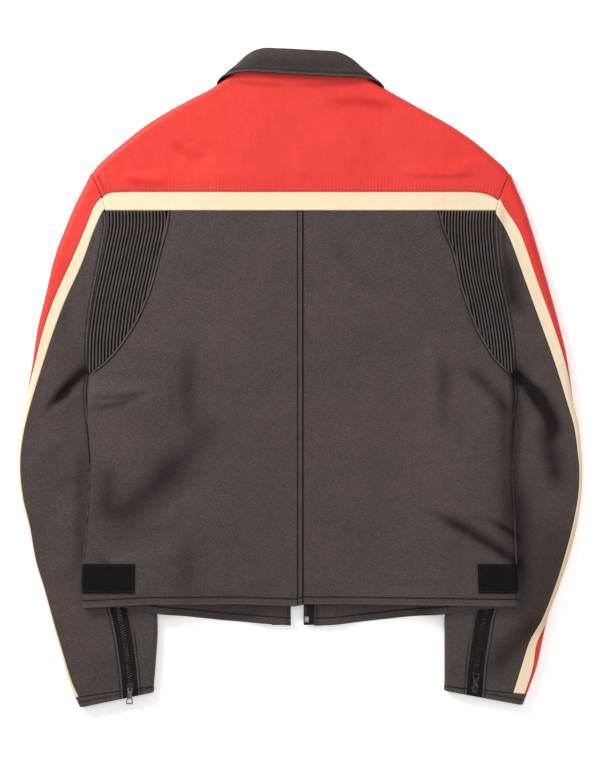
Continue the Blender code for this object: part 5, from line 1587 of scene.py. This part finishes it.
# %% [markdown]
# ## Metal parts that the frame already has
#
# The sliders, pulls and the zip's end box have the right shape in the frame. They only get their material.

# %% Give the frame's metal its finish
PART_METALS = {"box": BRIGHT, "pull_left": PULL_METAL, "cuff": BLACKENED, "": GUNMETAL}  # the first that fits
for name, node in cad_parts.items():
    if "slider" in name or "pull" in name or "box" in name:
        finish = next(look for part, look in PART_METALS.items() if part in name)
        node.data.materials.clear()
        node.data.materials.append(finish)
        print(name, "is", finish.name)

# %% [markdown]
# ## Floor, light and camera
#
# The jacket lies on a plain pale floor. A large soft light from above and behind the collar shows the folds, and
# the camera looks straight down.

# %% Floor and light
def pale_floor():
    look = Finish("pale floor")
    tone = look.mixed(look.noise(3.0, 2), (0.97, 0.97, 0.97), (0.99, 0.99, 0.99))
    look.feed(look.shader, {"Base Color": tone, "Roughness": 0.9, "Emission Color": (1, 1, 1),
                            "Emission Strength": 0.18})
    return look.material


FLOOR_HALF, FLOOR_Z = 6.0, -0.2 * MM
corners = np.array([(x, y, FLOOR_Z) for x, y in ((-1, -1), (1, -1), (1, 1), (-1, 1))]) * (FLOOR_HALF, FLOOR_HALF, 1)
floor = new_mesh("floor", corners, np.array([[0, 1, 2, 3]]), [pale_floor()])
floor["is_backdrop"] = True


def area_light(name, place, size, power):
    """A round light that is aimed at the middle of the jacket."""
    light = bpy.data.lights.new(name, "AREA")
    light.shape, light.size, light.energy = "DISK", size, power
    made = bpy.data.objects.new(name, light)
    made.location = place
    made.rotation_euler = (-Vector(place)).to_track_quat("-Z", "Y").to_euler()
    bpy.context.scene.collection.objects.link(made)


area_light("key", (-1.7, 1.7, 1.35), 1.1, 80)
area_light("top", (0.2, 0.3, 3.4), 2.6, 30)
area_light("fill", (2.0, -1.4, 1.3), 1.6, 12)
bpy.context.scene.view_settings.view_transform = "Standard"  # so a colour in the picture is the colour that was set
world = bpy.data.worlds.new("studio")
world.use_nodes = True
background = world.node_tree.nodes["Background"]
background.inputs["Color"].default_value = (1, 1, 1, 1)
background.inputs["Strength"].default_value = 0.5
bpy.context.scene.world = world

# %% Camera straight above
PIXEL = 1.25 * MM  # what one pixel of the picture covers at the height of the jacket's outline
VIEW_HIGH = 765 * PIXEL
VIEW_CENTRE = (-0.6 * MM, -5.6 * MM)
LENS, SENSOR, OUTLINE_HEIGHT = 120.0, 36.0, 8 * MM
camera = bpy.data.cameras.new("camera")
camera.lens, camera.sensor_width, camera.sensor_fit = LENS, SENSOR, "AUTO"
above = bpy.data.objects.new("camera", camera)
above.location = (*VIEW_CENTRE, OUTLINE_HEIGHT + VIEW_HIGH * LENS / SENSOR)
bpy.context.scene.collection.objects.link(above)
bpy.context.scene.camera = above
print("camera", round(above.location.z, 3), "m above the floor")

# %% Size and finish
jacket_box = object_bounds()
for axis, low, high in zip("xyz", *jacket_box):
    print(f"{axis}: {low * 1000:.1f} to {high * 1000:.1f} mm")
